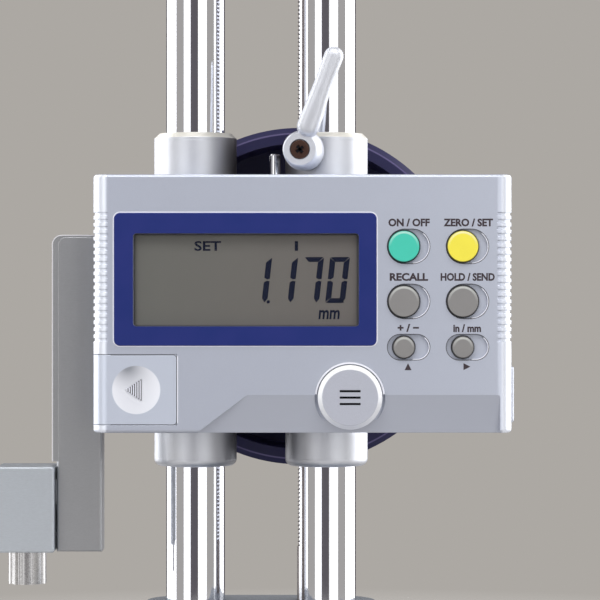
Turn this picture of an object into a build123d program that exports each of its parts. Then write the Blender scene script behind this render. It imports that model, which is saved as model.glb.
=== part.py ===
from build123d import *
import math
import os

# A twin-column digital height gauge in millimetres, standing on its base.
# X runs to the right, Y away from the reader and Z up. The origin is midway
# between the columns, on the underside of the base.

os.makedirs("parts", exist_ok=True)

# Range and rest position
measuring_range = 300.0
zero_height = 115.0
rest_lift = 36.0

# Columns and the rack cut along the right one
column_diameter = 22.0
column_spacing = 49.0
column_seat = 14.0
column_edge = 1.0
rack_pitch = 1.5
rack_bottom = 60.0
rack_top = 450.0
rack_recess = 0.3
land_depth = 0.06

# Gear teeth
pressure_angle = 20.0
addendum_share = 0.8
tip_clearance = 0.12
tooth_thinning = 0.05
gear_module = 0.8
pinion_teeth = 20
driven_teeth = 30
wheel_gear_teeth = 20
fine_gear_teeth = 58
fine_pinion_teeth = 14
encoder_pitches = 25

# Fits and clearances
locating_fit = 0.02
running_fit = 0.03
part_gap = 0.2
moving_gap = 0.3

# Base
base_width = 148.0
base_depth = 104.0
base_offset = 18.0
base_height = 34.0
base_corner = 12.0
base_edge = 3.0
boss_height = 40.0
boss_wall = 7.0
rim_width = 12.0
rim_height = 3.0
grip_radius = 14.0
grip_depth = 5.0
grip_length = 104.0
bolt_radius = 3.0
bolt_head_radius = 5.0
bolt_head_height = 6.0
bolt_reach = 16.0

# Bracket that joins the column tops
bracket_height = 24.0
bracket_gap = 8.1
cap_depth = 4.0
set_screw_radius = 3.0

# Slider casting and its collars
collar_wall = 4.4
collar_rise = 61.7
collar_drop = 59.6
collar_chamfer = 1.2
collar_round = 2.0
block_half_height = 46.0
bore_relief = 0.5
web_thickness = 6.0
rear_pad = 1.6
bush_wall = 2.0
bush_length = 12.0
wiper_wall = 2.9
upper_wiper = 1.2
lower_wiper = 0.9
cavity_left = -8.0
cavity_top = 30.0
cavity_bottom = -27.0

# Shafts, with places as x and height from the housing's centre
pinion_z = -16.6
shaft_radius = 3.0
shaft_bush_wall = 1.5
wheel_shaft_radius = 4.0
journal_depth = 4.8
gear_face = 4.0
fine_face = 2.2
pinion_half_face = 5.0

# Display housing
housing_width = 151.2
housing_height = 93.2
housing_depth = 24.0
housing_x = 15.5
housing_wall = 2.2
side_round = 5.4
edge_round = 1.2
plate_thickness = 2.6
plate_lap = 0.6
rib_count = 19
rib_pitch = 2.52
rib_width = 1.2
rib_depth = 0.45
rib_top = 32.9
bevel_top = -32.9
bevel_depth = 3.0
bevel_slope_run = 19.6
bevel_left = -4.3
bevel_right = 86.6
boss_radius = 3.0
pilot_radius = 1.25
housing_screw_radius = 1.2
screw_head_radius = 2.4

# Display
bezel_width = 94.6
bezel_height = 47.9
bezel_x = -5.1
bezel_z = 8.75
bezel_corner = 2.2
bezel_proud = 0.6
bezel_recess = 1.2
window_width = 81.3
window_height = 33.5
window_x = -4.85
window_z = 8.55
window_corner = 1.2
window_thickness = 1.0
window_lap = 1.2
lcd_thickness = 4.2
lcd_lap = 2.0
board_thickness = 1.6

# Keys
key_columns = (52.0, 73.2)
pocket_shift = 1.7
pocket_width = 15.4
pocket_depth = 1.2
key_proud = 1.4
key_travel = 1.0
key_gap = 0.25
key_flange = 0.9
key_stem_radius = 2.4
key_edge = 0.5
pad_thickness = 0.8
dome_height = 0.5
key_rows = ((20.6, 5.7, 12.5), (0.8, 5.7, 12.5), (-15.7, 3.95, 9.3))
key_names = (
    ("on_off_button", "zero_button"),
    ("preset_button", "hold_button"),
    ("sign_button", "unit_button"),
)

# Fine feed knob
knob_radius = 11.6
knob_z = -33.7
knob_proud = 4.0
knob_chamfer = 1.6
knob_pocket_gap = 1.05
knob_pocket_depth = 2.0
knob_floor = 1.8

# Battery and its sliding cover
battery_cover_right = -29.7
battery_cover_top = -18.3
battery_cover_bottom = -43.8
battery_cover_wrap = 10.0
cover_skin = 1.4
ledge_width = 1.4
cell_radius = 10.0
cell_thickness = 3.2
cell_x = -44.4
cell_z = -31.1
dimple_radius = 8.8
dimple_depth = 0.6

# Data socket and its cover
socket_cover_height = 20.1
socket_cover_width = 12.0
socket_cover_z = -32.95
socket_cover_proud = 1.0
socket_cover_rebate = 1.2
socket_width = 8.0
socket_height = 15.0
socket_length = 9.0
socket_wall = 1.0
pin_pitch = 2.54
pin_half = 0.32

# Slider clamp
clamp_x = 14.5
clamp_z = 56.3
clamp_boss_radius = 5.4
clamp_boss_reach = 1.6
lever_base_radius = 7.6
lever_front_radius = 6.0
lever_base_height = 3.0
lever_height = 9.7
lever_width = 6.9
lever_thickness = 4.6
lever_screw_radius = 3.45
lever_reach = 32.0
lever_bow = 3.6
lever_lean = 12.0
screw_slot_angle = 20.0
spindle_radius = 2.5
shoe_thickness = 1.6

# Probe terminal
terminal_x = 5.3
terminal_y = -6.0
terminal_radius = 1.8
terminal_top = 54.3

# Handwheel
wheel_radius = 64.3
wheel_z = 2.8
rim_wall = 6.1
rim_width_y = 24.0
rim_front_y = 20.0
rim_chamfer = 1.9
web_wall = 4.0
hub_radius = 12.0
finger_knob_radius = 45.0
finger_knob_angle = 60.0
finger_pin_radius = 3.0
finger_knob_length = 21.0
hub_screw_radius = 7.0
hub_screw_height = 2.5

# Rear gear cover
gear_cover_depth = 13.5
gear_cover_wall = 2.0
gear_cover_width = 42.0
gear_cover_height = 52.0
gear_cover_x = 11.0
gear_cover_z = -9.0
gear_cover_corner = 9.0
gear_screw_reach = 4.0
gear_screw_inset = 3.0

# Encoder rotor
rotor_radius = 12.0
rotor_thickness = 1.0
rotor_windows = 12
rotor_back_gap = 4.4

# Scriber arm, clamp and scriber
arm_left = -75.6
arm_width = 16.7
arm_y = -3.0
arm_thickness = 14.0
arm_top = 25.1
arm_bottom = -92.0
arm_corner = 3.4
lug_top = 20.0
lug_bottom = -38.0
square_bar = 9.0
jaw_top = -65.45
jaw_length = 28.4
clamp_frame_width = 21.8
clamp_frame_wall = 7.4
clamp_frame_top = -60.3
clamp_frame_bottom = -92.0
clamp_frame_gap = 0.6
scriber_gap = 0.05
pad_height = 2.0
scriber_right = -84.0
scriber_bend = -124.0
scriber_nose = -158.0
tip_thickness = 2.6
thumb_radius = 7.0
thumb_height = 12.0
thumb_flutes = 10
nose_half_width = 1.2
tip_half_width = 3.0
arm_screw_radius = 2.5
arm_screw_head = 4.25
arm_screw_head_height = 5.0

# Places that follow from the sizes above
column_radius = column_diameter / 2
left_x = -column_spacing / 2
right_x = column_spacing / 2
slider_z = zero_height + rest_lift
bracket_bottom = zero_height + measuring_range + collar_rise + upper_wiper + bracket_gap
bracket_top = bracket_bottom + bracket_height
column_top = bracket_top - cap_depth
collar_radius = column_radius + collar_wall

rack_module = rack_pitch / math.pi
rack_addendum = addendum_share * rack_module
rack_tip_x = right_x - column_radius + rack_recess
rack_pitch_x = rack_tip_x + rack_addendum
rack_root_x = rack_pitch_x + rack_addendum + tip_clearance
pinion_radius = pinion_teeth * rack_module / 2
pinion_x = rack_pitch_x - pinion_radius
pinion_height = slider_z + pinion_z
encoder_height = pinion_height + encoder_pitches * rack_pitch

wheel_height = slider_z + wheel_z
gear_distance = gear_module * (driven_teeth + wheel_gear_teeth) / 2
wheel_x = pinion_x + math.sqrt(gear_distance**2 - (wheel_height - pinion_height) ** 2)
fine_distance = gear_module * (fine_gear_teeth + fine_pinion_teeth) / 2
knob_height = slider_z + knob_z
knob_x = pinion_x + math.sqrt(fine_distance**2 - (knob_height - pinion_height) ** 2)

casting_front = -collar_radius
casting_rear = collar_radius + rear_pad
plate_front = casting_front - plate_thickness
housing_back = casting_front - plate_lap
housing_front = housing_back - housing_depth
inner_front = housing_front + housing_wall
board_front = inner_front + part_gap + lcd_thickness
board_back = board_front + board_thickness
socket_y = board_back + socket_width / 2
housing_left = housing_x - housing_width / 2
housing_right = housing_x + housing_width / 2
fine_gear_back = plate_front - 2.2
driven_gear_back = casting_rear + 1.2 + gear_face
gear_cover_back = casting_rear + gear_cover_depth
rim_back = rim_front_y + rim_width_y
web_front = rim_back - web_wall
hub_front = gear_cover_back + moving_gap
finger_x = wheel_x + finger_knob_radius * math.cos(math.radians(finger_knob_angle))
finger_height = wheel_height + finger_knob_radius * math.sin(math.radians(finger_knob_angle))
rotor_back = plate_front - rotor_back_gap
gear_screw_rise = gear_cover_height / 2 + gear_screw_inset
gear_screw_places = (
    (gear_cover_x - gear_cover_width / 2 + gear_cover_corner, slider_z + gear_cover_z + gear_screw_rise),
    (gear_cover_x, slider_z + gear_cover_z - gear_screw_rise),
)


def facing(y):
    """A plane at depth y turned to the reader: X and Z in the sketch, and extrusions come forward."""
    return Plane(origin=(0, y, 0), x_dir=(1, 0, 0), z_dir=(0, -1, 0))


def toward(x):
    """A plane at x that faces right: Y and Z in the sketch."""
    return Plane(origin=(x, 0, 0), x_dir=(0, 1, 0), z_dir=(1, 0, 0))


def gear_outline(teeth, module, turn):
    """Points round an involute spur gear with one tooth centred at the angle turn."""
    pitch_radius = teeth * module / 2
    base_radius = pitch_radius * math.cos(math.radians(pressure_angle))
    tip_radius = pitch_radius + addendum_share * module
    root_radius = pitch_radius - addendum_share * module - tip_clearance
    half_tooth = math.pi / (2 * teeth) - tooth_thinning / (2 * pitch_radius)

    def involute(radius):
        angle = math.acos(min(1.0, base_radius / radius))
        return math.tan(angle) - angle

    start_radius = max(base_radius, root_radius)
    middle_radius = (start_radius + tip_radius) / 2
    radii = [start_radius, middle_radius, tip_radius]
    if root_radius < base_radius:
        radii.insert(0, root_radius)
    spread = [
        half_tooth + involute(pitch_radius) - involute(max(radius, start_radius))
        for radius in radii
    ]
    flank = list(zip(radii, spread))
    points = []
    for tooth in range(teeth):
        centre = math.radians(turn) + 2 * math.pi * tooth / teeth
        for radius, half in flank:
            points.append((radius * math.cos(centre - half), radius * math.sin(centre - half)))
        for radius, half in reversed(flank):
            points.append((radius * math.cos(centre + half), radius * math.sin(centre + half)))
    return points


def direction(x_from, z_from, x_to, z_to):
    """Angle in degrees of the line between two centres, seen from the front."""
    return math.degrees(math.atan2(z_to - z_from, x_to - x_from))


# Cast base with a lapped rim and a lapped land underneath, finger grips and two column bosses
with BuildPart() as base_casting:
    with BuildSketch():
        with Locations((base_offset, 0)):
            RectangleRounded(base_width, base_depth, base_corner)
    extrude(amount=base_height)
    with BuildSketch(toward(base_offset - grip_length / 2)):
        for side in (-1, 1):
            with Locations((side * (base_depth / 2 + grip_radius - grip_depth), base_height / 2 + 2)):
                Circle(grip_radius)
    extrude(amount=grip_length, mode=Mode.SUBTRACT)
    deck_edges = base_casting.faces().sort_by(Axis.Z)[-1].outer_wire().edges()
    fillet(deck_edges, base_edge)
    with BuildSketch():
        SlotCenterToCenter(column_spacing, 2 * (column_radius + boss_wall))
    extrude(amount=boss_height)
    with BuildSketch():
        with Locations((base_offset, 0)):
            RectangleRounded(base_width - 2 * rim_width, base_depth - 2 * rim_width, base_corner / 2)
        SlotCenterToCenter(column_spacing, 2 * (column_radius + boss_wall), mode=Mode.SUBTRACT)
    extrude(amount=rim_height, mode=Mode.SUBTRACT)
    with BuildSketch(Plane.XY.offset(column_seat)):
        with Locations((left_x, 0), (right_x, 0)):
            Circle(column_radius + locating_fit)
    extrude(amount=boss_height, mode=Mode.SUBTRACT)
    with BuildSketch():
        with Locations((left_x, 0), (right_x, 0)):
            Circle(bolt_head_radius + part_gap)
    extrude(amount=rim_height + part_gap + bolt_head_height, mode=Mode.SUBTRACT)
    with BuildSketch():
        with Locations((left_x, 0), (right_x, 0)):
            Circle(bolt_radius + part_gap)
    extrude(amount=column_seat, mode=Mode.SUBTRACT)
base_casting.part.label = "base_casting"
export_step(base_casting.part, "parts/base_casting.step")

# Socket screws that hold the columns down from below
bolt_head_top = rim_height + part_gap + bolt_head_height
with BuildPart() as column_bolts:
    with BuildSketch(Plane.XY.offset(bolt_head_top - bolt_head_height)):
        with Locations((left_x, 0), (right_x, 0)):
            Circle(bolt_head_radius)
    extrude(amount=bolt_head_height)
    with BuildSketch(Plane.XY.offset(bolt_head_top)):
        with Locations((left_x, 0), (right_x, 0)):
            Circle(bolt_radius)
    extrude(amount=column_seat + bolt_reach - bolt_head_top)
    with BuildSketch(Plane.XY.offset(bolt_head_top - bolt_head_height)):
        with Locations((left_x, 0), (right_x, 0)):
            RegularPolygon(bolt_radius * 0.95, 6)
    extrude(amount=bolt_radius, mode=Mode.SUBTRACT)
column_bolts.part.label = "column_bolts"
export_step(column_bolts.part, "parts/column_bolts.step")

# Plain ground column
with BuildPart() as left_column:
    with BuildSketch(Plane.XY.offset(column_seat)):
        with Locations((left_x, 0)):
            Circle(column_radius)
    extrude(amount=column_top - column_seat)
    chamfer(left_column.edges().filter_by(GeomType.CIRCLE), column_edge)
    with BuildSketch(Plane.XY.offset(column_seat)):
        with Locations((left_x, 0)):
            Circle(bolt_radius + locating_fit)
    extrude(amount=bolt_reach + 2, mode=Mode.SUBTRACT)
left_column.part.label = "left_column"
export_step(left_column.part, "parts/left_column.step")

# Column with a rack: three flats along its inner side, then the tooth gaps
land_half = math.sqrt((column_radius - land_depth) ** 2 - (right_x - rack_tip_x) ** 2)
shoulder_x = rack_root_x + 0.15
shoulder_half = math.sqrt(column_radius**2 - (right_x - shoulder_x) ** 2)
run_out = 1.25
end_x = rack_tip_x + run_out * (shoulder_x - rack_tip_x)
end_half = land_half + run_out * (shoulder_half - land_half)
flank_slope = math.tan(math.radians(pressure_angle))
cutter_lift = 0.3
gap_half = rack_pitch / 4 + tooth_thinning / 2
gap_root_half = gap_half - (rack_root_x - rack_pitch_x) * flank_slope
gap_mouth_half = gap_half + (rack_addendum + cutter_lift) * flank_slope
first_gap = math.ceil((rack_bottom - pinion_height) / rack_pitch)
last_gap = math.floor((rack_top - pinion_height) / rack_pitch)
comb = [(rack_tip_x - 2, rack_bottom - rack_pitch)]
for count in range(first_gap, last_gap + 1):
    gap_z = pinion_height + count * rack_pitch
    comb.append((rack_tip_x - cutter_lift, gap_z - gap_mouth_half))
    comb.append((rack_root_x, gap_z - gap_root_half))
    comb.append((rack_root_x, gap_z + gap_root_half))
    comb.append((rack_tip_x - cutter_lift, gap_z + gap_mouth_half))
comb.append((rack_tip_x - 2, rack_top + rack_pitch))

with BuildPart() as right_column:
    with BuildSketch(Plane.XY.offset(column_seat)):
        with Locations((right_x, 0)):
            Circle(column_radius)
    extrude(amount=column_top - column_seat)
    chamfer(right_column.edges().filter_by(GeomType.CIRCLE), column_edge)
    with BuildSketch(Plane.XY.offset(rack_bottom)):
        with BuildLine():
            Polyline(
                (rack_tip_x, -land_half),
                (rack_tip_x, land_half),
                (end_x, end_half),
                (rack_tip_x - 2, end_half + 1),
                (rack_tip_x - 2, -end_half - 1),
                (end_x, -end_half),
                close=True,
            )
        make_face()
    extrude(amount=rack_top - rack_bottom, mode=Mode.SUBTRACT)
    with BuildSketch(facing(0)):
        with BuildLine():
            Polyline(*comb, close=True)
        make_face()
    extrude(amount=shoulder_half + 1, both=True, mode=Mode.SUBTRACT)
    with BuildSketch(Plane.XY.offset(column_seat)):
        with Locations((right_x, 0)):
            Circle(bolt_radius + locating_fit)
    extrude(amount=bolt_reach + 2, mode=Mode.SUBTRACT)
right_column.part.label = "right_column"
export_step(right_column.part, "parts/right_column.step")

# Bracket across the column tops, held by set screws from behind
with BuildPart() as top_bracket:
    with BuildSketch(Plane.XY.offset(bracket_bottom)):
        SlotCenterToCenter(column_spacing, 2 * collar_radius)
    extrude(amount=bracket_height)
    chamfer(top_bracket.faces().filter_by(Axis.Z).edges(), collar_chamfer)
    with BuildSketch(Plane.XY.offset(bracket_bottom)):
        with Locations((left_x, 0), (right_x, 0)):
            Circle(column_radius + locating_fit)
    extrude(amount=bracket_height, mode=Mode.SUBTRACT)
    with BuildSketch(facing(collar_radius)):
        with Locations((left_x, bracket_bottom + bracket_height / 2), (right_x, bracket_bottom + bracket_height / 2)):
            Circle(set_screw_radius + locating_fit)
    extrude(amount=collar_wall + 1, mode=Mode.SUBTRACT)
top_bracket.part.label = "top_bracket"
export_step(top_bracket.part, "parts/top_bracket.step")

with BuildPart() as bracket_screws:
    screw_places = [(x, bracket_bottom + bracket_height / 2) for x in (left_x, right_x)]
    with BuildSketch(facing(collar_radius - 0.5)):
        with Locations(*screw_places):
            Circle(set_screw_radius)
    extrude(amount=collar_wall - 0.5 - 0.1)
    with BuildSketch(facing(collar_radius - 0.5)):
        with Locations(*screw_places):
            RegularPolygon(set_screw_radius * 0.5, 6)
    extrude(amount=collar_wall / 2, mode=Mode.SUBTRACT)
bracket_screws.part.label = "bracket_screws"
export_step(bracket_screws.part, "parts/bracket_screws.step")

with BuildPart() as column_caps:
    with BuildSketch(Plane.XY.offset(column_top)):
        with Locations((left_x, 0), (right_x, 0)):
            Circle(column_radius)
    extrude(amount=cap_depth)
    fillet(column_caps.edges().group_by(Axis.Z)[-1], column_edge)
column_caps.part.label = "column_caps"
export_step(column_caps.part, "parts/column_caps.step")

# Slider casting: two tubes with collars, a block between them, a lug for the arm and the clamp boss
shaft_bush_radius = shaft_radius + running_fit + shaft_bush_wall
wheel_bush_radius = wheel_shaft_radius + running_fit + shaft_bush_wall
bush_radius = column_radius + running_fit + bush_wall
cavity_half = collar_radius - web_thickness
arm_right = arm_left + arm_width
rear_web_front = casting_rear - web_thickness - rear_pad
with BuildPart() as slider_casting:
    with BuildSketch(Plane.XY.offset(slider_z - collar_drop)):
        with Locations((left_x, 0), (right_x, 0)):
            Circle(collar_radius)
    extrude(amount=collar_rise + collar_drop)
    chamfer(slider_casting.edges().group_by(Axis.Z)[-1], collar_chamfer)
    fillet(slider_casting.edges().group_by(Axis.Z)[0], collar_round)
    with BuildSketch(Plane.XY.offset(slider_z - block_half_height)):
        with Locations((0, (casting_front + casting_rear) / 2)):
            Rectangle(column_spacing, casting_rear - casting_front)
    extrude(amount=2 * block_half_height)
    with BuildSketch(Plane.XY.offset(slider_z + lug_bottom)):
        with Locations(((arm_right + left_x) / 2, arm_y)):
            Rectangle(left_x - arm_right, arm_thickness)
    extrude(amount=lug_top - lug_bottom)
    with BuildSketch(facing(0)):
        with Locations((clamp_x, slider_z + clamp_z)):
            Circle(clamp_boss_radius)
    extrude(amount=collar_radius + clamp_boss_reach)
    with BuildSketch(Plane.XY.offset(slider_z - collar_drop)):
        with Locations((left_x, 0), (right_x, 0)):
            Circle(column_radius + bore_relief)
    extrude(amount=collar_rise + collar_drop, mode=Mode.SUBTRACT)
    for bottom in (slider_z - collar_drop, slider_z + collar_rise - bush_length):
        with BuildSketch(Plane.XY.offset(bottom)):
            with Locations((left_x, 0), (right_x, 0)):
                Circle(bush_radius)
        extrude(amount=bush_length, mode=Mode.SUBTRACT)
    cavity_right = right_x - math.sqrt((column_radius + bore_relief) ** 2 - cavity_half**2)
    with BuildSketch(facing(cavity_half)):
        with Locations(((cavity_left + cavity_right) / 2, slider_z + (cavity_top + cavity_bottom) / 2)):
            Rectangle(cavity_right - cavity_left, cavity_top - cavity_bottom)
    extrude(amount=2 * cavity_half, mode=Mode.SUBTRACT)
    with BuildSketch(facing(casting_rear)):
        with Locations((pinion_x, pinion_height)):
            Circle(shaft_bush_radius)
    extrude(amount=casting_rear - casting_front, mode=Mode.SUBTRACT)
    with BuildSketch(facing(cavity_half + journal_depth)):
        with Locations((pinion_x, encoder_height)):
            Circle(shaft_bush_radius)
    extrude(amount=cavity_half + journal_depth - casting_front, mode=Mode.SUBTRACT)
    with BuildSketch(facing(casting_rear)):
        with Locations((wheel_x, wheel_height)):
            Circle(wheel_bush_radius)
    extrude(amount=journal_depth, mode=Mode.SUBTRACT)
    with BuildSketch(facing(0)):
        with Locations((clamp_x, slider_z + clamp_z)):
            Circle(spindle_radius + running_fit)
    extrude(amount=collar_radius + clamp_boss_reach, mode=Mode.SUBTRACT)
    with BuildSketch(facing(casting_rear)):
        with Locations(*gear_screw_places):
            Circle(housing_screw_radius + locating_fit)
    extrude(amount=gear_screw_reach + 1, mode=Mode.SUBTRACT)
slider_casting.part.label = "slider_casting"
export_step(slider_casting.part, "parts/slider_casting.step")

with BuildPart() as column_bushes:
    for bottom in (slider_z - collar_drop, slider_z + collar_rise - bush_length):
        with BuildSketch(Plane.XY.offset(bottom)):
            with Locations((left_x, 0), (right_x, 0)):
                Circle(bush_radius)
                Circle(column_radius + running_fit, mode=Mode.SUBTRACT)
        extrude(amount=bush_length)
    with BuildSketch(facing(0)):
        with Locations((clamp_x, slider_z + clamp_z)):
            Circle(spindle_radius + part_gap)
    extrude(amount=bush_radius, mode=Mode.SUBTRACT)
column_bushes.part.label = "column_bushes"
export_step(column_bushes.part, "parts/column_bushes.step")

with BuildPart() as wiper_rings:
    wiper_ends = (
        (slider_z - collar_drop - lower_wiper, lower_wiper),
        (slider_z + collar_rise, upper_wiper),
    )
    for bottom, height in wiper_ends:
        with BuildSketch(Plane.XY.offset(bottom)):
            with Locations((left_x, 0), (right_x, 0)):
                Circle(column_radius + moving_gap + wiper_wall)
                Circle(column_radius + moving_gap, mode=Mode.SUBTRACT)
        extrude(amount=height)
wiper_rings.part.label = "wiper_rings"
export_step(wiper_rings.part, "parts/wiper_rings.step")

# Shaft bushes: the pinion and encoder shafts in the casting, the wheel shaft and the knob shaft
bush_spans = (
    (pinion_x, pinion_height, casting_front, -cavity_half, shaft_radius),
    (pinion_x, pinion_height, cavity_half, casting_rear, shaft_radius),
    (pinion_x, encoder_height, casting_front, -cavity_half, shaft_radius),
    (pinion_x, encoder_height, cavity_half, cavity_half + journal_depth, shaft_radius),
    (wheel_x, wheel_height, casting_rear - journal_depth, casting_rear, wheel_shaft_radius),
    (wheel_x, wheel_height, gear_cover_back - journal_depth, gear_cover_back, wheel_shaft_radius),
    (knob_x, knob_height, plate_front, casting_front, shaft_radius),
)
with BuildPart() as shaft_bushes:
    for bush_x, bush_z, span_front, span_back, bore in bush_spans:
        with BuildSketch(facing(span_back)):
            with Locations((bush_x, bush_z)):
                Circle(bore + running_fit + shaft_bush_wall)
                Circle(bore + running_fit, mode=Mode.SUBTRACT)
        extrude(amount=span_back - span_front)
shaft_bushes.part.label = "shaft_bushes"
export_step(shaft_bushes.part, "parts/shaft_bushes.step")

# Display housing: a plan outline with round front corners, raised to its height and hollowed
housing_bottom = slider_z - housing_height / 2
housing_top = slider_z + housing_height / 2


def housing_outline(inset):
    """The housing's plan outline, moved inwards by inset."""
    left = housing_left + inset
    right = housing_right - inset
    front = housing_front + inset
    corner = side_round - inset
    bend = corner * (1 - math.sqrt(0.5))
    Polyline((left, front + corner), (left, housing_back), (right, housing_back), (right, front + corner))
    ThreePointArc((right, front + corner), (right - bend, front + bend), (right - corner, front))
    Line((right - corner, front), (left + corner, front))
    ThreePointArc((left + corner, front), (left + bend, front + bend), (left, front + corner))


key_places = []
for row, (row_z, key_radius, pocket_height) in enumerate(key_rows):
    for column, key_x in enumerate(key_columns):
        key_places.append((key_names[row][column], key_x, slider_z + row_z, key_radius, pocket_height))

screw_inset = 7.0
boss_places = (
    (housing_left + screw_inset, housing_top - screw_inset),
    (housing_right - screw_inset, housing_top - screw_inset),
    (battery_cover_right + 2 * boss_radius, housing_bottom + screw_inset),
    (key_columns[1], housing_bottom + screw_inset),
)

# The bevel below the display: a wedge whose left end runs down and out to the battery cover
with BuildPart() as bevel_wedge:
    with BuildSketch(toward(bevel_left - bevel_slope_run)):
        with BuildLine():
            Polyline(
                (housing_front - 1, slider_z + bevel_top),
                (housing_front, slider_z + bevel_top),
                (housing_front + bevel_depth, housing_bottom),
                (housing_front + bevel_depth, housing_bottom - 1),
                (housing_front - 1, housing_bottom - 1),
                close=True,
            )
        make_face()
    extrude(amount=bevel_right - bevel_left + bevel_slope_run)
    with BuildSketch(facing(housing_front + bevel_depth + 1)):
        with BuildLine():
            Polyline(
                (bevel_left, slider_z + bevel_top + 1),
                (bevel_left, slider_z + bevel_top),
                (bevel_left - bevel_slope_run, housing_bottom - 1),
                (bevel_left - bevel_slope_run - 1, slider_z + bevel_top + 1),
                close=True,
            )
        make_face()
    extrude(amount=bevel_depth + 3, mode=Mode.SUBTRACT)

with BuildPart() as front_cover:
    with BuildSketch(Plane.XY.offset(housing_bottom)):
        with BuildLine():
            housing_outline(0)
        make_face()
    extrude(amount=housing_height)
    rim_edges = front_cover.edges().group_by(Axis.Z)[-1] + front_cover.edges().group_by(Axis.Z)[0]
    fillet(rim_edges.filter_by(lambda edge: edge.center().Y < housing_back - 0.5), edge_round)
    # hollow: full depth above, and a thicker front behind the bevel
    step_z = slider_z + bevel_top + housing_wall
    hollow_left = housing_left + housing_wall
    hollow_right = housing_right - housing_wall
    hollow_top = housing_top - housing_wall
    hollow_bottom = housing_bottom + housing_wall
    step_x = bevel_left - bevel_slope_run - housing_wall
    with BuildSketch(facing(housing_back)):
        with Locations(((hollow_left + hollow_right) / 2, (step_z + hollow_top) / 2)):
            Rectangle(hollow_right - hollow_left, hollow_top - step_z)
        with Locations(((hollow_left + step_x) / 2, (hollow_bottom + hollow_top) / 2)):
            Rectangle(step_x - hollow_left, hollow_top - hollow_bottom)
    extrude(amount=housing_depth - housing_wall, mode=Mode.SUBTRACT)
    with BuildSketch(facing(housing_back)):
        with Locations(((step_x + hollow_right) / 2, (hollow_bottom + step_z) / 2)):
            Rectangle(hollow_right - step_x, step_z - hollow_bottom)
    extrude(amount=housing_depth - housing_wall - bevel_depth, mode=Mode.SUBTRACT)
    # screw bosses and the pad behind the knob
    with BuildSketch(facing(plate_front)):
        for boss_x, boss_z in boss_places:
            with Locations((boss_x, boss_z)):
                Circle(boss_radius)
    extrude(amount=plate_front - inner_front)
    with BuildSketch(facing(housing_front + knob_pocket_depth + knob_floor)):
        with Locations((knob_x, knob_height)):
            Circle(knob_radius + knob_pocket_gap + housing_wall)
        with Locations((housing_x, slider_z)):
            Rectangle(housing_width, housing_height - 2 * edge_round, mode=Mode.INTERSECT)
    extrude(amount=knob_pocket_depth + knob_floor - housing_wall / 2)
    add(bevel_wedge.part, mode=Mode.SUBTRACT)
    # display opening with the bezel's recess
    with BuildSketch(facing(housing_front + bezel_recess)):
        with Locations((bezel_x, slider_z + bezel_z)):
            RectangleRounded(bezel_width + 2 * part_gap, bezel_height + 2 * part_gap, bezel_corner + part_gap)
    extrude(amount=bezel_recess, mode=Mode.SUBTRACT)
    with BuildSketch(facing(inner_front)):
        with Locations((window_x, slider_z + window_z)):
            RectangleRounded(window_width, window_height, window_corner)
    extrude(amount=housing_wall, mode=Mode.SUBTRACT)
    # key pockets and key holes
    for key_name, key_x, key_z, key_radius, pocket_height in key_places:
        with BuildSketch(facing(housing_front + pocket_depth)):
            with Locations((key_x + pocket_shift, key_z)):
                SlotOverall(pocket_width, pocket_height)
        extrude(amount=pocket_depth, mode=Mode.SUBTRACT)
        with BuildSketch(facing(inner_front)):
            with Locations((key_x, key_z)):
                Circle(key_radius + key_gap)
        extrude(amount=housing_wall, mode=Mode.SUBTRACT)
    # knob pocket and shaft hole
    with BuildSketch(facing(housing_front + knob_pocket_depth)):
        with Locations((knob_x, knob_height)):
            Circle(knob_radius + knob_pocket_gap)
    extrude(amount=knob_pocket_depth, mode=Mode.SUBTRACT)
    with BuildSketch(facing(plate_front)):
        with Locations((knob_x, knob_height)):
            Circle(shaft_radius + moving_gap)
    extrude(amount=plate_front - housing_front, mode=Mode.SUBTRACT)
    # ledge for the battery cover round the left side, and the battery opening
    with BuildSketch(Plane.XY.offset(slider_z + battery_cover_bottom)):
        with BuildLine():
            housing_outline(-1)
        make_face()
        with BuildLine():
            housing_outline(cover_skin + part_gap)
        make_face(mode=Mode.SUBTRACT)
        with Locations((housing_left - 2, housing_front - 2)):
            Rectangle(
                battery_cover_right - housing_left + 2,
                battery_cover_wrap + 2,
                align=(Align.MIN, Align.MIN),
                mode=Mode.INTERSECT,
            )
    extrude(amount=battery_cover_top - battery_cover_bottom, mode=Mode.SUBTRACT)
    with BuildSketch(facing(inner_front + 1)):
        with Locations((cell_x, cell_z + slider_z)):
            Rectangle(2 * (cell_radius + ledge_width), 2 * (cell_radius + ledge_width))
    extrude(amount=housing_wall + 1, mode=Mode.SUBTRACT)
    # rebate and hole for the data socket on the right side
    with BuildSketch(toward(housing_right - socket_cover_rebate)):
        with Locations((socket_y, slider_z + socket_cover_z)):
            RectangleRounded(socket_cover_width + 2 * part_gap, socket_cover_height + 2 * part_gap, 1)
    extrude(amount=2 * socket_cover_rebate, mode=Mode.SUBTRACT)
    with BuildSketch(toward(hollow_right - 1)):
        with Locations((socket_y, slider_z + socket_cover_z)):
            Rectangle(socket_width + 2 * part_gap, socket_height + 2 * part_gap)
    extrude(amount=housing_wall + 2, mode=Mode.SUBTRACT)
    # grip ribs down both rounded sides
    for rib in range(rib_count):
        with BuildSketch(Plane.XY.offset(slider_z + rib_top - rib * rib_pitch - rib_width)):
            with BuildLine():
                housing_outline(-1)
            make_face()
            with BuildLine():
                housing_outline(rib_depth)
            make_face(mode=Mode.SUBTRACT)
            with Locations((housing_x, (housing_front + housing_back) / 2)):
                Rectangle(housing_width - 2 * side_round, housing_depth + 3, mode=Mode.SUBTRACT)
            with Locations((housing_x, housing_back + 1)):
                Rectangle(housing_width + 4, 10, mode=Mode.SUBTRACT)
        extrude(amount=rib_width, mode=Mode.SUBTRACT)
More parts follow.
